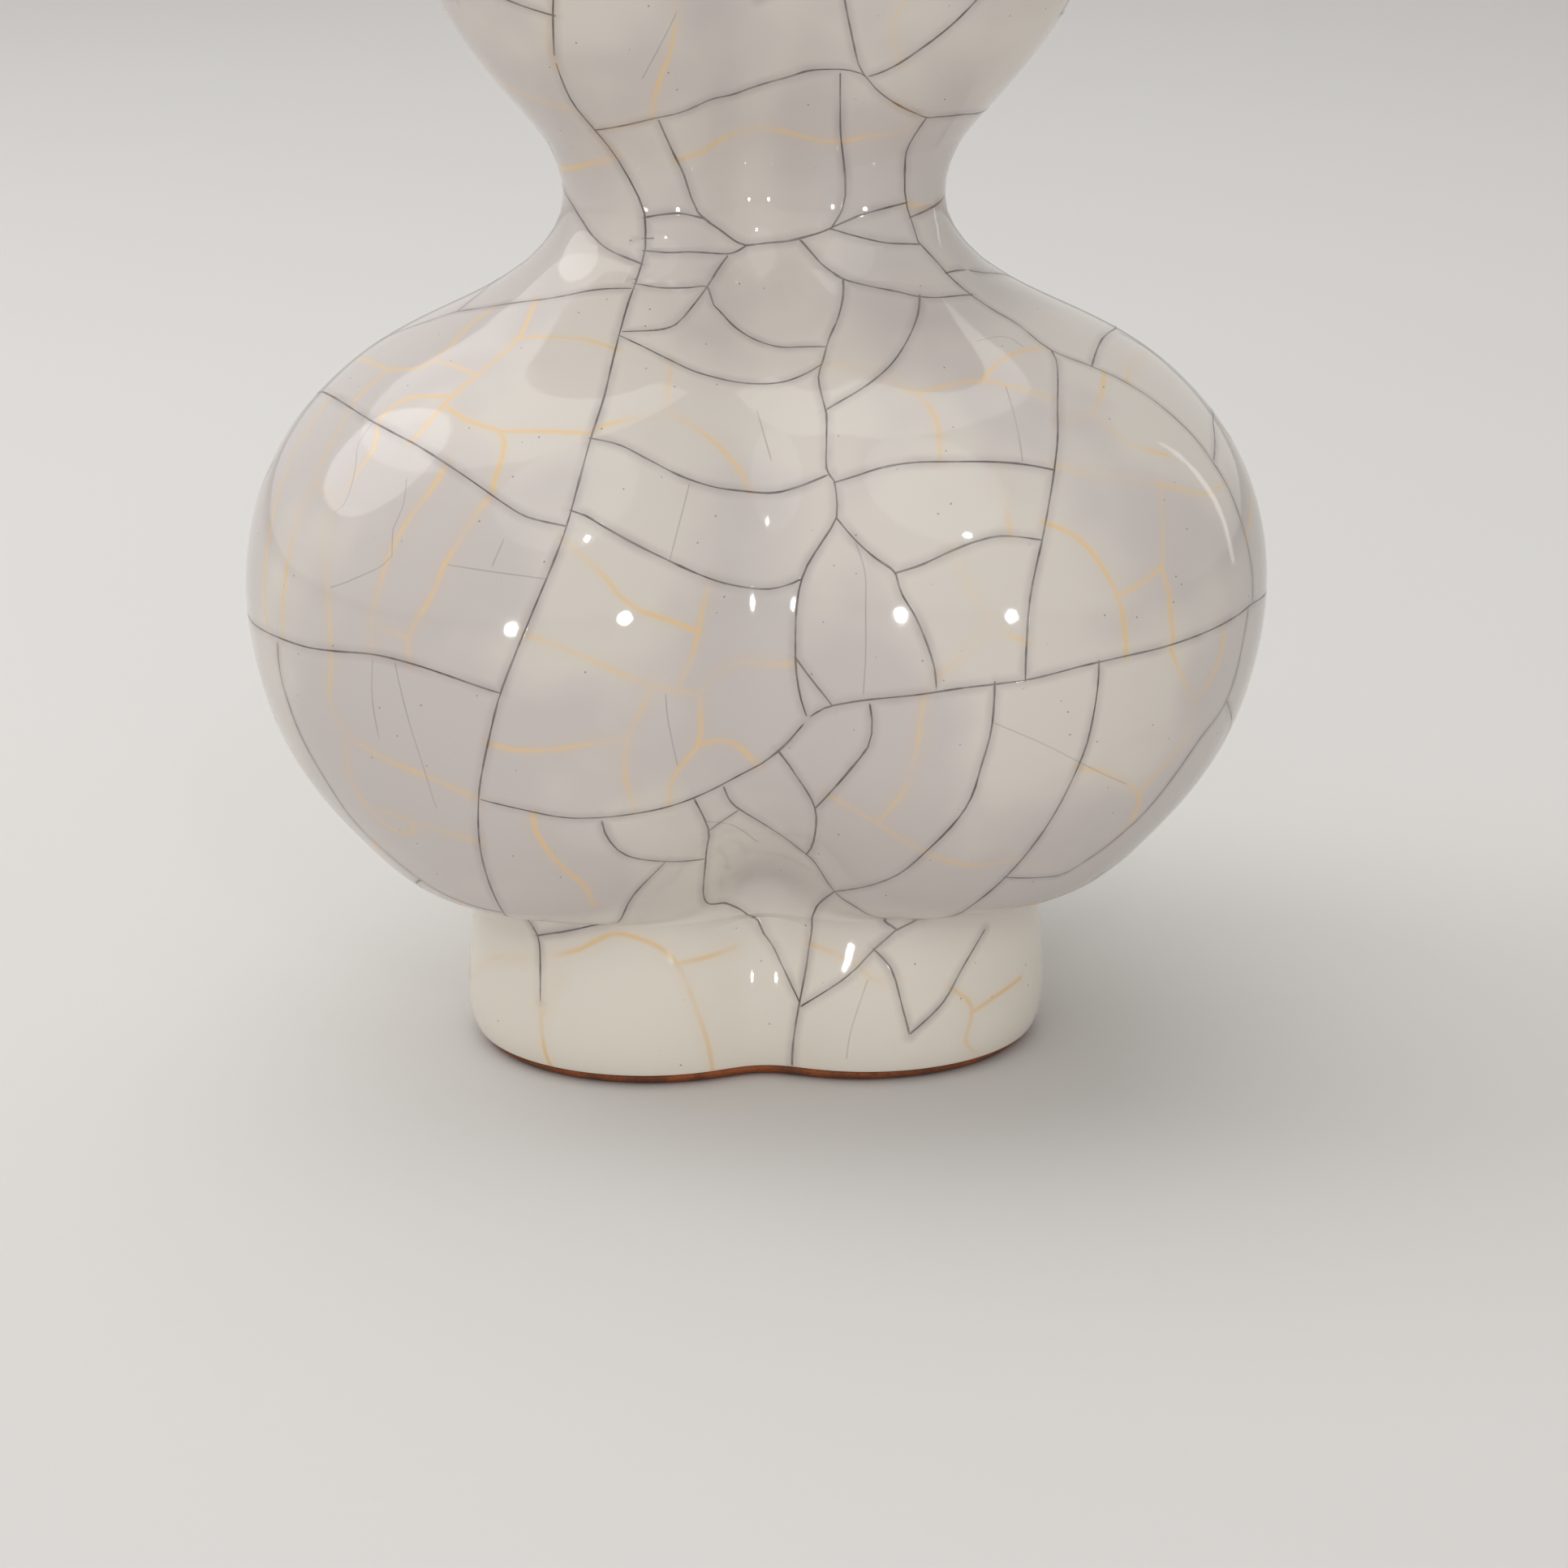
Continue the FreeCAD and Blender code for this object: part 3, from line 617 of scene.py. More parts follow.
def settle_mesh(piece):
    """Puts the modifiers' result in the piece's own mesh."""
    graph = bpy.context.evaluated_depsgraph_get()
    mesh = bpy.data.meshes.new_from_object(piece.evaluated_get(graph))
    rough = piece.data
    piece.modifiers.clear()
    piece.data = mesh
    bpy.data.meshes.remove(rough)
    mesh.name = piece.name
    mesh.shade_smooth()


def place_piece(piece, node, finish):
    """Hides the piece's part of the construction, and says where the piece rides and what it is finished in.
    """
    piece.data.materials.clear()
    piece.data.materials.append(finish)
    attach(piece, "root")
    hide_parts(node)


class CrackMap:
    """The cracks of the glaze, as lines on its surface."""

    STEP = 0.8 * MM
    JOIN = 2.5 * MM
    REACH = 2.9 * MM
    OVERLAP = 0.25 * MM
    TURN = 0.015
    PULL = 0.2
    SHORTEST = 12
    EDGE = 0.45
    OUTWARD = 1 * MM
    GUIDE_FINENESS = 2

    def __init__(self, guide, camera):
        """Starts from a plain mesh, whose faces are put in one order so that each run is the same."""
        verts = [vert.co.copy() for vert in guide.vertices]
        level = Vector((1, 1, 0))
        outside = []
        for face in guide.polygons:
            if face.normal.dot((face.center - AXIS) * level) > self.OUTWARD:
                corners = list(face.vertices)
                first = corners.index(min(corners))
                outside.append(corners[first:] + corners[:first])
        outside.sort()
        self.outside = [verts[vert] for vert in sorted({vert for face in outside for vert in face})]
        self.surface = BVHTree.FromPolygons(verts, outside)
        self.camera = camera
        self.focal = camera.data.lens / camera.data.sensor_width * PHOTO_SIDE
        self.lines = []
        self.cells = {}

    def land(self, column, row):
        """The place on the glaze that a pixel of the photograph shows."""
        half = PHOTO_SIDE / 2
        turn = self.camera.matrix_basis.to_3x3()
        ray = turn @ Vector(((column - half) / self.focal, (half - row) / self.focal, -1))
        return self.surface.ray_cast(self.camera.location, ray)[0]

    def cell(self, place):
        return tuple(int(math.floor(part / self.JOIN)) for part in place)

    def nearest(self, place, reach, skip=None):
        """The closest known crack point within reach, with the number of its line."""
        best, found = reach, None
        x, y, z = self.cell(place)
        span = int(math.ceil(reach / self.JOIN))
        for i in range(x - span, x + span + 1):
            for j in range(y - span, y + span + 1):
                for k in range(z - span, z + span + 1):
                    for point, number in self.cells.get((i, j, k), ()):
                        if number != skip and (point - place).length < best:
                            best, found = (point - place).length, (point, number)
        return found

    def keep(self, line):
        """Adds a line of closely spaced points."""
        number = len(self.lines)
        self.lines.append(line)
        for point in line:
            self.cells.setdefault(self.cell(point), []).append((point, number))

    def smooth(self, points):
        """A smooth line over the glaze through a few points on it."""
        line = []
        for i in range(len(points) - 1):
            before, start = points[max(i - 1, 0)], points[i]
            end, after = points[i + 1], points[min(i + 2, len(points) - 1)]
            count = max(1, round((end - start).length / self.STEP))
            for step in range(count):
                t = step / count
                lean_in, lean_out = (end - before) / 2, (after - start) / 2
                place = start + t * (lean_in + t * (3 * (end - start) - 2 * lean_in - lean_out
                                                    + t * (2 * (start - end) + lean_in + lean_out)))
                line.append(self.surface.find_nearest(place)[0])
        kept = line[:1]
        for place in line[1:] + [points[-1]]:
            if (place - kept[-1]).length > self.STEP / 4:
                kept.append(place)
        return kept

    def trace(self, picks):
        """Adds the lines picked on the photograph, and joins each end to a crack that it nearly meets."""
        traced = []
        for pick in picks:
            points = [place for place in (self.land(*pixel) for pixel in pick) if place is not None]
            if len(points) > 1:
                traced.append(points)
        first = len(self.lines)
        for points in traced:
            self.keep(self.smooth(points))
        for number, points in enumerate(traced, first):
            for end in (0, -1):
                met = self.nearest(points[end], self.JOIN, number)
                if met:
                    points[end] = met[0]
            self.lines[number] = self.smooth(points)

    def shown(self, place, normal):
        """How squarely the photograph shows a place, from 0 where it doesn't to 1."""
        view = self.camera.location - place
        reach = view.length
        ray = self.camera.matrix_basis.to_3x3().transposed() @ -view
        row = PHOTO_SIDE / 2 - ray.y / -ray.z * self.focal
        return max(0, normal.dot(view) / reach) if row > 0 else 0

    def run_on(self, first, dice):
        """Lets the picked cracks that reach the edge of the photograph go on round the vase."""
        for number in range(first, len(self.lines)):
            for back in (-1, 1):
                line = self.lines[number][::back]
                place, normal = self.surface.find_nearest(line[-1])[:2]
                in_view = self.shown(place, normal) > self.EDGE
                if len(line) < 6 or in_view or self.nearest(place, self.STEP, number):
                    continue
                path = self.walk(place, (line[-1] - line[-5]).normalized(), dice, [], number)
                for point in path:
                    self.cells.setdefault(self.cell(point), []).append((point, number))
                self.lines[number] = (line + path)[::back]

    def walk(self, start, heading, dice, own, skip=None):
        """Follows a crack until it meets another, leaves the glaze or comes into the photograph's view."""
        path, place, bend = [], start, 0
        while len(path) * self.STEP < LONGEST_CRACK:
            place, normal = self.surface.find_nearest(place + heading * self.STEP)[:2]
            bend = 0.9 * bend + dice.gauss(0, self.TURN)
            heading = (heading - normal * heading.dot(normal)).normalized()
            heading.rotate(Quaternion(normal, bend))
            if not CRACKED_FROM < place.z < CRACKED_TO:
                return path
            allowed = 0.12 if skip is None else 0.5 if len(path) < self.SHORTEST else 0.25
            if self.shown(place, normal) > allowed:
                break
            path.append(place)
            met = self.nearest(place, self.STEP * 5, skip)
            if met and (met[0] - place).length < self.STEP * 1.5:
                return path + [met[0]]
            if met:
                heading = heading + (met[0] - place).normalized() * self.PULL
            if len(path) > self.SHORTEST and any((place - point).length < self.STEP * 1.5 for point in own):
                return path
            own.append(path[-10] if len(path) > 10 else start)
        met = self.nearest(place, self.JOIN * 4, skip)
        if met and path:
            path += self.smooth([path[-1], met[0]])[1:]
        return path

    def grow(self, gap, dice):
        """Fills what the photograph doesn't show with cracks, the widest gap first."""
        spots = []
        for place in dice.sample(self.outside, TRIAL_SPOTS):
            normal = self.surface.find_nearest(place)[1]
            if CRACKED_FROM < place.z < CRACKED_TO and self.shown(place, normal) < 0.15:
                spots.append(place)
        while spots:
            rooms = []
            for spot in spots:
                met = self.nearest(spot, gap * 1.6)
                rooms.append((met[0] - spot).length if met else gap * 1.6)
            widest = max(rooms)
            if widest < gap / 2:
                break
            spot = spots[rooms.index(widest)]
            normal = self.surface.find_nearest(spot)[1]
            heading = normal.orthogonal().normalized()
            heading.rotate(Quaternion(normal, dice.uniform(0, math.pi)))
            ahead = self.walk(spot, heading, dice, [])
            behind = self.walk(spot, -heading, dice, list(ahead))
            line = behind[::-1] + [spot] + ahead
            line = [place for i, place in enumerate(line)
                    if not i or (place - line[i - 1]).length > self.STEP / 4]
            if len(line) > self.SHORTEST:
                self.keep(line)
            spots = [s for s, room in zip(spots, rooms) if s != spot and room >= gap / 2]

    def layers(self, lines):
        """Sorts lines into layers in which none comes near another."""
        tree = KDTree(sum(len(line) for line in lines))
        owners = []
        for number, line in enumerate(lines):
            for point in line:
                tree.insert(point, len(owners))
                owners.append(number)
        tree.balance()
        near = [set() for line in lines]
        for number, line in enumerate(lines):
            for point in line[::2]:
                near[number].update(owners[index] for _, index, _ in tree.find_range(point, 2 * self.REACH))
            near[number].discard(number)
        layer_of = {}
        for number in sorted(range(len(lines)), key=lambda n: -len(near[n])):
            taken = {layer_of.get(other) for other in near[number]}
            layer_of[number] = next(layer for layer in range(len(lines)) if layer not in taken)
        count = max(layer_of.values()) + 1
        return [[lines[n] for n in sorted(layer_of) if layer_of[n] == layer] for layer in range(count)]

    def write(self, mesh, name, lines):
        """Stores, at each point of the glaze, how far it lies aside of a line and beyond its end."""
        verts = mesh.vertices
        places = np.empty(len(verts) * 3)
        verts.foreach_get("co", places)
        places = places.reshape(-1, 3)
        normals = np.empty(len(verts) * 3)
        verts.foreach_get("normal", normals)
        normals = normals.reshape(-1, 3)
        tree = KDTree(len(places))
        for index, place in enumerate(places):
            tree.insert(place, index)
        tree.balance()
        stored = np.tile([0, FAR_AWAY, 0], (len(places), 1))
        for line in lines:
            found = set()
            for point in line:
                found.update(index for _, index, _ in tree.find_range(point, self.REACH))
            found = np.array(sorted(found))
            points = np.array(line)
            away = places[found][:, None] - points[None]
            closest = np.argmin((away ** 2).sum(axis=2), axis=1)
            tangents = np.gradient(points, axis=0)
            tangents /= np.linalg.norm(tangents, axis=1)[:, None]
            rows = np.arange(len(found))
            away, tangent = away[rows, closest], tangents[closest]
            aside = (away * np.cross(tangent, normals[found])).sum(axis=1)
            ahead = (away * tangent).sum(axis=1)
            beyond = np.where(closest == 0, -ahead, np.where(closest == len(points) - 1, ahead, 0))
            beyond = np.maximum(beyond - self.OVERLAP, 0)
            closer = np.hypot(aside, beyond) < np.linalg.norm(stored[found], axis=1)
            stored[found[closer]] = np.c_[aside, beyond, np.zeros(len(found))][closer]
        attribute = mesh.attributes.new(name, "FLOAT_VECTOR", "POINT")
        attribute.data.foreach_set("vector", stored.astype(np.float32).ravel())


class Value:
    """A material's socket, so that shader maths can be written as sums."""

    def __init__(self, finish, socket):
        self.finish = finish
        self.socket = socket

    def maths(self, operation, *numbers):
        return self.finish.node("ShaderNodeMath", {"operation": operation}, *numbers)

    def __add__(self, other):
        return self.maths("ADD", self, other)

    __radd__ = __add__

    def __sub__(self, other):
        return self.maths("SUBTRACT", self, other)

    def __rsub__(self, other):
        return self.maths("SUBTRACT", other, self)

    def __mul__(self, other):
        return self.maths("MULTIPLY", self, other)

    __rmul__ = __mul__

    def least(self, other):
        return self.maths("MINIMUM", self, other)

    def most(self, other):
        return self.maths("MAXIMUM", self, other)

    def fade(self, full, none):
        """1 up to one value, falling smoothly to 0 at another."""
        settings = {"interpolation_type": "SMOOTHSTEP"}
        return self.finish.node("ShaderNodeMapRange", settings, self, full, none, 1.0, 0.0)


class Finish:
    """A procedural material while it is being made."""

    def __init__(self, name):
        self.material = bpy.data.materials.new(name)
        self.material.use_nodes = True
        self.nodes = self.material.node_tree.nodes
        self.links = self.material.node_tree.links
        self.shader = self.nodes["Principled BSDF"]
        self.place = self.node("ShaderNodeTexCoord", {}, output="Object")

    def node(self, kind, settings, *values, output=0, **named):
        """Adds a node with its settings, then its sockets' values or links, and gives one of its outputs."""
        node = self.nodes.new(kind)
        for name, setting in settings.items():
            setattr(node, name, setting)
        for socket, value in list(enumerate(values)) + list(named.items()):
            self.feed(node.inputs[socket.replace("_", " ") if isinstance(socket, str) else socket], value)
        return Value(self, node.outputs[output])

    def feed(self, socket, value):
        if isinstance(value, Value):
            self.links.new(value.socket, socket)
        elif isinstance(value, tuple) and socket.type == "RGBA":
            socket.default_value = (*value, 1)
        else:
            socket.default_value = value

    def blend(self, share, first, second):
        """A colour between two, by a share from 0 to 1."""
        node = self.nodes.new("ShaderNodeMix")
        node.data_type = "RGBA"
        self.feed(node.inputs["Factor"], share)
        colours = [socket for socket in node.inputs if socket.type == "RGBA"]
        self.feed(colours[0], first)
        self.feed(colours[1], second)
        return Value(self, next(socket for socket in node.outputs if socket.type == "RGBA"))

    def grain(self, size, detail=2.0, roughness=0.5, shift=0.0):
        """A soft random value of a given grain size."""
        moved = self.node("ShaderNodeVectorMath", {"operation": "ADD"}, self.place, (shift, shift, shift))
        return self.node("ShaderNodeTexNoise", {}, Vector=moved, Scale=1 / size, Detail=detail,
                         Roughness=roughness)

    def bump(self, height, depth):
        return self.node("ShaderNodeBump", {}, Height=height, Distance=depth, Strength=1.0, output="Normal")

    def height(self):
        return self.node("ShaderNodeSeparateXYZ", {}, self.place, output="Z")

    def finished(self, **named):
        for name, value in named.items():
            self.feed(self.shader.inputs[name.replace("_", " ")], value)
        return self.material


def line_distance(finish, name, layers):
    """How far the nearest of the stored cracks is."""
    nearest = None
    for layer in range(layers):
        stored = finish.node("ShaderNodeAttribute", {"attribute_name": f"{name}_{layer}"}, output="Vector")
        distance = finish.node("ShaderNodeVectorMath", {"operation": "LENGTH"}, stored, output="Value")
        nearest = distance if nearest is None else nearest.least(distance)
    return nearest


def cell_distance(finish, size, shift):
    """How far the nearest edge is in a web of cells, whose edges wander."""
    wander = finish.node("ShaderNodeTexNoise", {}, Vector=finish.place, Scale=1 / size, Detail=2.0,
                         output="Color")
    bent = finish.node("ShaderNodeVectorMath", {"operation": "MULTIPLY_ADD"}, wander,
                       (size * 0.9, size * 0.9, size * 0.9), finish.place)
    moved = finish.node("ShaderNodeVectorMath", {"operation": "ADD"}, bent, (shift, shift, shift))
    edge = finish.node("ShaderNodeTexVoronoi", {"feature": "DISTANCE_TO_EDGE"}, Vector=moved, Scale=1 / size,
                       output="Distance")
    return edge * size


def glaze_finish(name, colours, grey_layers=0, amber_layers=0, fine_layers=0):
    """Thick glossy glaze over pale clay: grey and amber cracks, fine ones and pinholes."""
    finish = Finish(name)
    patches = finish.grain(38 * MM, detail=3.0).fade(0.58, 0.42)
    base = finish.blend(patches, tuple(colours.glaze), tuple(colours.cool_glaze))
    # Towards the foot the glaze turns creamier, and it is also painted lighter there to make up for the shade
    # under the lower bulb
    cream_and_painted_light = finish.height().fade(16 * MM, 30 * MM)
    base = finish.blend(cream_and_painted_light * 0.85, base, tuple(colours.warm_glaze_painted_lighter))
    if grey_layers:
        grey = line_distance(finish, "grey", grey_layers)
        amber = line_distance(finish, "amber", amber_layers)
    else:
        grey = cell_distance(finish, 26 * MM, 0.0)
        amber = cell_distance(finish, 15 * MM, 0.1)
    strength = finish.grain(9 * MM, shift=0.3)
    amber_shade = amber.fade(0.0, colours.amber_reach) * finish.grain(14 * MM, shift=0.4).fade(0.68, 0.3)
    amber_shade = amber_shade * 0.72 + amber.fade(0.0, 2.4 * MM) * 0.08
    base = finish.blend(amber_shade, base, tuple(colours.amber_crack))
    pinhole = finish.node("ShaderNodeTexVoronoi", {}, Vector=finish.place, Scale=1 / (3.2 * MM),
                          output="Distance").fade(0.03, 0.055) * 0.6
    base = finish.blend(pinhole, base, tuple(colours.grey_crack))
    stain = grey.fade(0.0, colours.grey_reach)
    stain = stain * (finish.grain(6 * MM, shift=0.7) * 0.9 - 0.12)
    base = finish.blend(stain, base, tuple(colours.grey_stain))
    broken = finish.grain(2.2 * MM, detail=3.0, shift=0.6) * 0.8 + strength * 0.8
    width = (finish.grain(3.5 * MM, detail=3.0, shift=0.2) * 3.4).most(1.2) * colours.grey_line
    line = grey.fade(colours.grey_line * 0.3, width) * broken.least(1)
    base = finish.blend(line, base, tuple(colours.grey_crack))
    if fine_layers:
        fine = line_distance(finish, "fine", fine_layers).fade(0, colours.grey_line * 1.4)
        base = finish.blend(fine * strength * 0.6, base, tuple(colours.grey_crack))
    wave = (finish.grain(15 * MM, detail=1.0) - 0.5) * (0.22 * MM)
    ripple = (finish.grain(1.3 * MM, shift=0.9) - 0.5) * (0.007 * MM)
    relief = finish.bump(wave + ripple - line * (0.02 * MM), 1.0)
    return finish.finished(Base_Color=base, Roughness=line * 0.35 + patches * 0.02 + 0.055, Normal=relief,
                           IOR=1.52)


def lip_finish(colours):
    """Thin glaze over the lip, brown where the clay shows through."""
    finish = Finish("Lip glaze")
    run = finish.grain(4 * MM, detail=3.0).fade(0.65, 0.35)
    base = finish.blend(run * 0.6, tuple(colours.lip), tuple(colours.dark_slip))
    low = finish.height().fade(CAD_BOX[1].z - 1.9 * MM, CAD_BOX[1].z - 1.1 * MM)
    base = finish.blend(low * 0.8, base, tuple(colours.warm_glaze_painted_lighter))
    relief = finish.bump((finish.grain(3 * MM) - 0.5) * (0.05 * MM), 1.0)
    return finish.finished(Base_Color=base, Roughness=run * 0.12 + 0.12, Normal=relief)


def slip_finish(colours):
    """Matte rust-brown slip, gritty and unevenly fired."""
    finish = Finish("Iron slip")
    fired = finish.grain(5 * MM, detail=3.0).fade(0.62, 0.38)
    grit = finish.grain(0.5 * MM, detail=4.0, roughness=0.7)
    base = finish.blend(fired * 0.8, tuple(colours.slip), tuple(colours.dark_slip))
    base = finish.blend(grit.fade(0.62, 0.42) * 0.06, base, tuple(colours.clay))
    base = finish.blend(grit.fade(0.36, 0.48) * 0.6, base, tuple(colours.dark_slip))
    relief = finish.bump(grit * (0.12 * MM), 1.0)
    return finish.finished(Base_Color=base, Roughness=grit * 0.25 + 0.6, Normal=relief)


def clay_finish(colours):
    """Fired clay with iron specks and throwing grain."""
    finish = Finish("Stoneware")
    tone = finish.grain(12 * MM, detail=3.0).fade(0.65, 0.35)
    speck = finish.node("ShaderNodeTexVoronoi", {}, Vector=finish.place, Scale=1 / (1.8 * MM),
                        output="Distance").fade(0.08, 0.16)
    base = finish.blend(tone * 0.35, tuple(colours.clay), tuple(colours.warm_glaze_painted_lighter))
    base = finish.blend(speck * 0.7, base, tuple(colours.slip))
    relief = finish.bump(finish.grain(0.7 * MM, detail=4.0) * (0.1 * MM), 1.0)
    return finish.finished(Base_Color=base, Roughness=tone * 0.1 + 0.72, Normal=relief)


def outside_rows(form):
    return smooth_rows(foot_rows(form) + body_rows(form))


def outer_glaze_outlines(form, fineness=1):
    """Up the outside of the glaze and down its inner face."""
    rows = outside_rows(form)
    rows = rows[(rows[:, 0] > form.bare_rim) & (rows[:, 0] < form.height - form.lip_band)]
    inner = thinned(rows, lambda row: form.glaze)
    outlines = join_foot(form, picked(rows, OUTSIDE_ROUNDS * fineness), 0)
    return outlines + join_foot(form, picked(inner, BEHIND_ROUNDS * fineness), form.glaze)[::-1]


def lining_outlines(form):
    """From the floor of the lining up to the lip, and down its hidden face."""
    rows = outside_rows(form)
    rows = rows[rows[:, 0] < form.height - form.lip_band]
    faces = []
    for beyond, count in ((0, LINING_ROUNDS), (form.lining, BEHIND_LINING_ROUNDS)):
        depth = lambda row: form.wall + (form.mouth_wall - form.wall) * row[4] - beyond
        floor = form.floor_height - beyond
        face = thinned(rows, depth)
        face = face[face[:, 0] > floor + 0.6 * MM]
        face = face[int(np.argmin(face[:, 0])):]
        low = face[0]
        flat = [Outline(floor, low[1] * share, low[2] * share, low[3] * (0.4 + 0.6 * share))
                for share in (0.12, 0.5, 0.85)]
        faces.append(flat + picked(face, count))
    return faces[0] + faces[1][::-1]


def rim_outline(form, height, half_width):
    """An outline parallel to the rim of the foot."""
    lobe, groove = FOOT_RIM_SHARES[0][2:4]
    share = min(1, half_width / (form.foot_rim_half_width - form.rim_width * 2))
    return Outline(height, half_width, lobe * form.foot_rim_half_width * share,
                   (groove * form.foot_rim_half_width + form.foot_rim_half_width - half_width))


def slip_outlines(form):
    return [rim_outline(form, form.bare_rim * rise, form.foot_rim_half_width + form.rim_width * out)
            for rise, out in SLIP_SHARES]


def base_glaze_outlines(form):
    recess = form.foot_rim_half_width - form.rim_width
    return [rim_outline(form, form.recess_depth * rise, recess * out - form.lining * depth)
            for rise, out, depth in RECESS_SHARES]


def lip_outlines(form):
    lobe, groove = MOUTH_SHARES[-1][2:4]
    outlines = []
    for rise, inward in LIP_SHARES:
        depth = form.mouth_wall * inward
        outlines.append(Outline(form.height - form.lip_band * (1 - rise), form.mouth_half_width - depth,
                                lobe * form.mouth_half_width, groove * form.mouth_half_width + depth))
    return outlines


class VASE_OT_stage(bpy.types.Operator):
    """Adds the camera, the floor, the lamps and the room's light"""

    bl_idname = "vase.stage"
    bl_label = "Stage"

    def execute(self, context):
        stage = context.scene.vase_stage
        scene = context.scene
        camera = bpy.data.objects.new("Camera", bpy.data.cameras.new("Camera"))
        camera.data.lens = stage.camera_lens
        camera.data.clip_start = 0.02
        bearing = stage.camera_bearing
        camera.location = AXIS + Vector((-math.sin(bearing) * stage.camera_distance,
                                         -math.cos(bearing) * stage.camera_distance, stage.camera_height))
        camera.rotation_euler = (math.pi / 2 - stage.camera_dip, 0, -bearing - stage.camera_yaw)
        scene.collection.objects.link(camera)
        scene.camera = camera
        scene.view_settings.view_transform = "Standard"
        self.add_floor(scene, stage)
        for name, (place, width, height, share) in PANELS.items():
            self.add_lamp(scene, name, place, (width, height), PANEL_BEAM, stage.soft_light * share)
        for name, place in LAMP_PLACES.items():
            self.add_lamp(scene, name, place, (stage.lamp_size, stage.lamp_size), stage.lamp_beam,
                          stage.lamp_light)
        self.light_room(scene, stage)
        return {"FINISHED"}

    def add_floor(self, scene, stage):
        bm = bmesh.new()
        bmesh.ops.create_circle(bm, cap_ends=True, radius=FLOOR_RADIUS, segments=96)
        mesh = bpy.data.meshes.new("floor")
        bm.to_mesh(mesh)
        bm.free()
        floor = bpy.data.objects.new("floor", mesh)
        scene.collection.objects.link(floor)
        finish = Finish("Pale floor")
        tone = finish.grain(0.4, detail=2.0)
        darker = tuple(value * 0.95 for value in stage.floor)
        mesh.materials.append(finish.finished(Base_Color=finish.blend(tone, tuple(stage.floor), darker),
                                              Roughness=0.85))

    def add_lamp(self, scene, name, place, size, beam, power):
        light = bpy.data.lights.new(name, "AREA")
        light.shape = "ELLIPSE"
        light.size, light.size_y = size
        light.spread = beam
        light.energy = power
        lamp = bpy.data.objects.new(name, light)
        lamp.location = place
        lamp.visible_camera = False
        aim = Vector((0, AXIS.y, AIM_HEIGHT)) - lamp.location
        lamp.rotation_euler = aim.to_track_quat("-Z", "Y").to_euler()
        scene.collection.objects.link(lamp)

    def light_room(self, scene, stage):
        world = bpy.data.worlds.new("Room")
        world.use_nodes = True
        scene.world = world
        nodes, links = world.node_tree.nodes, world.node_tree.links
        room = nodes["Background"]
        room.inputs["Color"].default_value = (1, 0.985, 0.965, 1)
        room.inputs["Strength"].default_value = stage.room_light
        backdrop = nodes.new("ShaderNodeBackground")
        backdrop.inputs["Color"].default_value = (*stage.floor, 1)
        rays = nodes.new("ShaderNodeLightPath")
        shown = nodes.new("ShaderNodeMath")
        shown.operation = "MAXIMUM"
        links.new(rays.outputs["Is Camera Ray"], shown.inputs[0])
        links.new(rays.outputs["Is Glossy Ray"], shown.inputs[1])
        choice = nodes.new("ShaderNodeMixShader")
        links.new(shown.outputs[0], choice.inputs[0])
        links.new(room.outputs[0], choice.inputs[1])
        links.new(backdrop.outputs[0], choice.inputs[2])
        links.new(choice.outputs[0], nodes["World Output"].inputs["Surface"])


class VASE_OT_clay(bpy.types.Operator):
    """Finishes the clay sections, which the coats cover"""

    bl_idname = "vase.clay"
    bl_label = "Clay sections"

    def execute(self, context):
        finish = clay_finish(context.scene.vase_glaze)
        for name in CLAY_NODES:
            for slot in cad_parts[name].material_slots:
                slot.material = finish
        return {"FINISHED"}


class VASE_OT_outer_glaze(bpy.types.Operator):
    """Coats the outside with crackle glaze"""

    bl_idname = "vase.outer_glaze"
    bl_label = "Outer glaze"

    def execute(self, context):
        colours = context.scene.vase_glaze
        form = context.scene.vase_form
        piece = lobed_piece("crackle_glaze_coat", outer_glaze_outlines(form), True)
        settle_mesh(piece)
        fineness = CrackMap.GUIDE_FINENESS
        guide = lobed_piece("crack_guide", outer_glaze_outlines(form, fineness), True, 0, SPOKES * fineness)
        cracks = CrackMap(guide.data, context.scene.camera)
        bpy.data.meshes.remove(guide.data)
        dice = random.Random(CRACK_SEED)
        cracks.trace(DARK_CRACKS_PX)
        cracks.run_on(0, dice)
        cracks.grow(colours.grey_gap, dice)
        grey = list(cracks.lines)
        cracks.trace(GOLD_CRACKS_PX)
        cracks.run_on(len(grey), dice)
        cracks.grow(colours.amber_gap, dice)
        amber = cracks.lines[len(grey):]
        cracks.trace(FINE_CRACKS_PX)
        fine = cracks.lines[len(grey) + len(amber):]
        counts = []
        for name, lines in (("grey", grey), ("amber", amber), ("fine", fine)):
            layers = cracks.layers(lines)
            for number, layer in enumerate(layers):
                cracks.write(piece.data, f"{name}_{number}", layer)
            counts.append(len(layers))
        place_piece(piece, "outer_glaze", glaze_finish("Crackle glaze", colours, *counts))
        return {"FINISHED"}


class VASE_OT_lining(bpy.types.Operator):
    """Lines the inside with glaze"""

    bl_idname = "vase.lining"
    bl_label = "Inner glaze"

    def execute(self, context):
        piece = lobed_piece("inner_glaze_lining", lining_outlines(context.scene.vase_form), False, 1)
        place_piece(piece, "inner_glaze",
                    glaze_finish("Lining glaze", context.scene.vase_glaze))
        return {"FINISHED"}


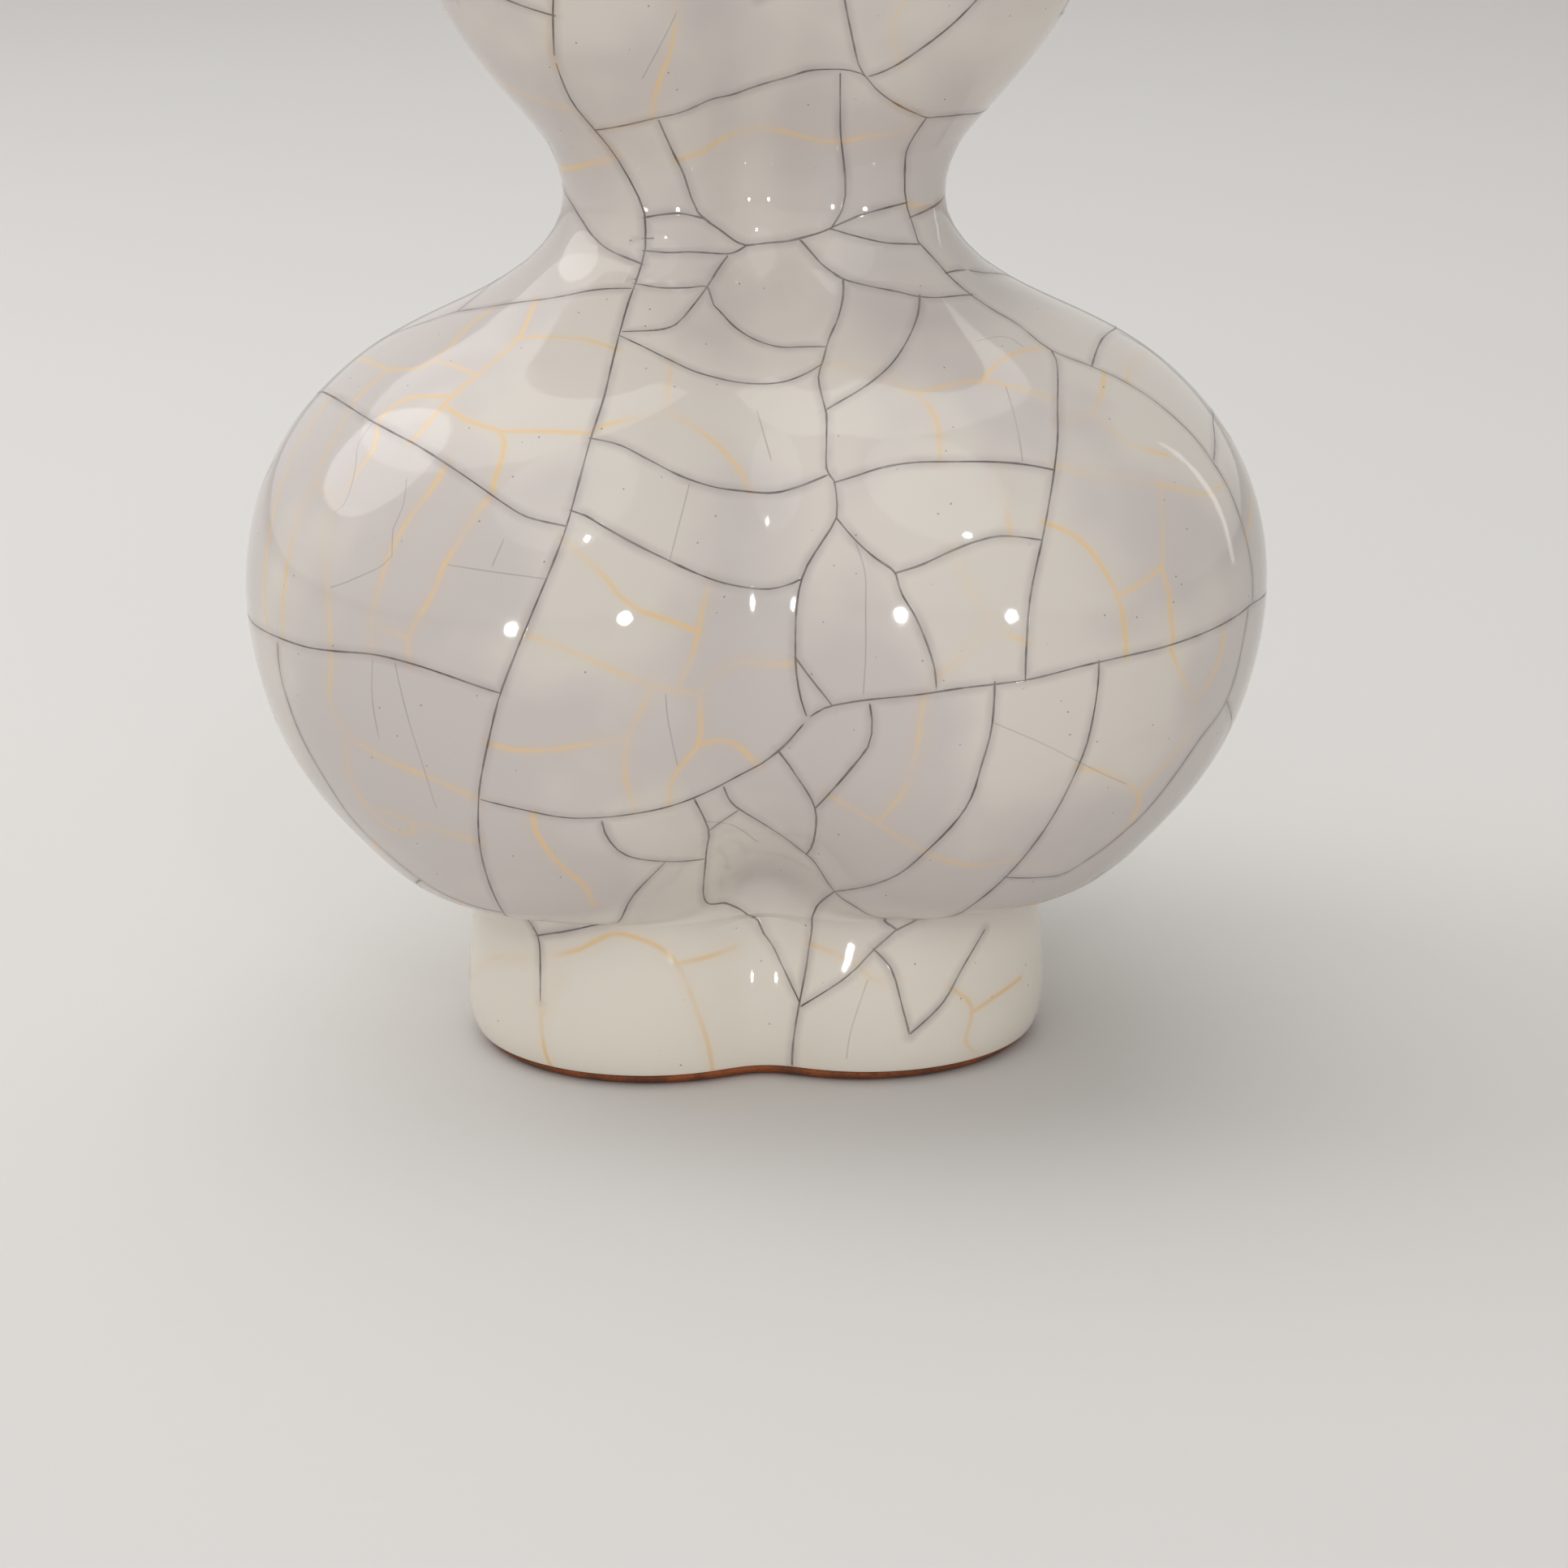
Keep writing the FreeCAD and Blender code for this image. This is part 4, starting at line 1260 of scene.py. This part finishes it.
class VASE_OT_underside(bpy.types.Operator):
    """Glazes the recess under the foot and slips the bare rim"""

    bl_idname = "vase.underside"
    bl_label = "Underside"

    def execute(self, context):
        form, colours = context.scene.vase_form, context.scene.vase_glaze
        recess = lobed_piece("recess_glaze", base_glaze_outlines(form), False)
        place_piece(recess, "base_glaze", glaze_finish("Recess glaze", colours))
        rim = lobed_piece("foot_rim_slip_coat", slip_outlines(form), True)
        place_piece(rim, "foot_rim_slip", slip_finish(colours))
        return {"FINISHED"}


class VASE_OT_lip(bpy.types.Operator):
    """Rounds the lip in thin brown glaze"""

    bl_idname = "vase.lip"
    bl_label = "Lip"

    def execute(self, context):
        piece = lobed_piece("lip_glaze", lip_outlines(context.scene.vase_form), True)
        place_piece(piece, "mouth_rim_glaze", lip_finish(context.scene.vase_glaze))
        return {"FINISHED"}


class VASE_PT_panel(bpy.types.Panel):
    """The vase's steps and settings in the sidebar"""

    bl_label = "Gourd vase"
    bl_idname = "VASE_PT_panel"
    bl_space_type = "VIEW_3D"
    bl_region_type = "UI"
    bl_category = "Vase"

    def draw(self, context):
        for step in STEPS:
            self.layout.operator(step.bl_idname)
        for settings in (context.scene.vase_form, context.scene.vase_glaze, context.scene.vase_stage):
            box = self.layout.box()
            for name in settings.__annotations__:
                box.prop(settings, name)


STEPS = (VASE_OT_stage, VASE_OT_clay, VASE_OT_outer_glaze, VASE_OT_lining, VASE_OT_underside, VASE_OT_lip)
CLASSES = (VaseForm, VaseGlaze, VaseStage, *STEPS, VASE_PT_panel)


def register():
    for each in CLASSES:
        bpy.utils.register_class(each)
    bpy.types.Scene.vase_form = bpy.props.PointerProperty(type=VaseForm)
    bpy.types.Scene.vase_glaze = bpy.props.PointerProperty(type=VaseGlaze)
    bpy.types.Scene.vase_stage = bpy.props.PointerProperty(type=VaseStage)


def unregister():
    del bpy.types.Scene.vase_form, bpy.types.Scene.vase_glaze, bpy.types.Scene.vase_stage
    for each in reversed(CLASSES):
        bpy.utils.unregister_class(each)


def main():
    register()
    for step in STEPS:
        group, name = step.bl_idname.split(".")
        getattr(getattr(bpy.ops, group), name)()


if __name__ == "__main__":
    main()
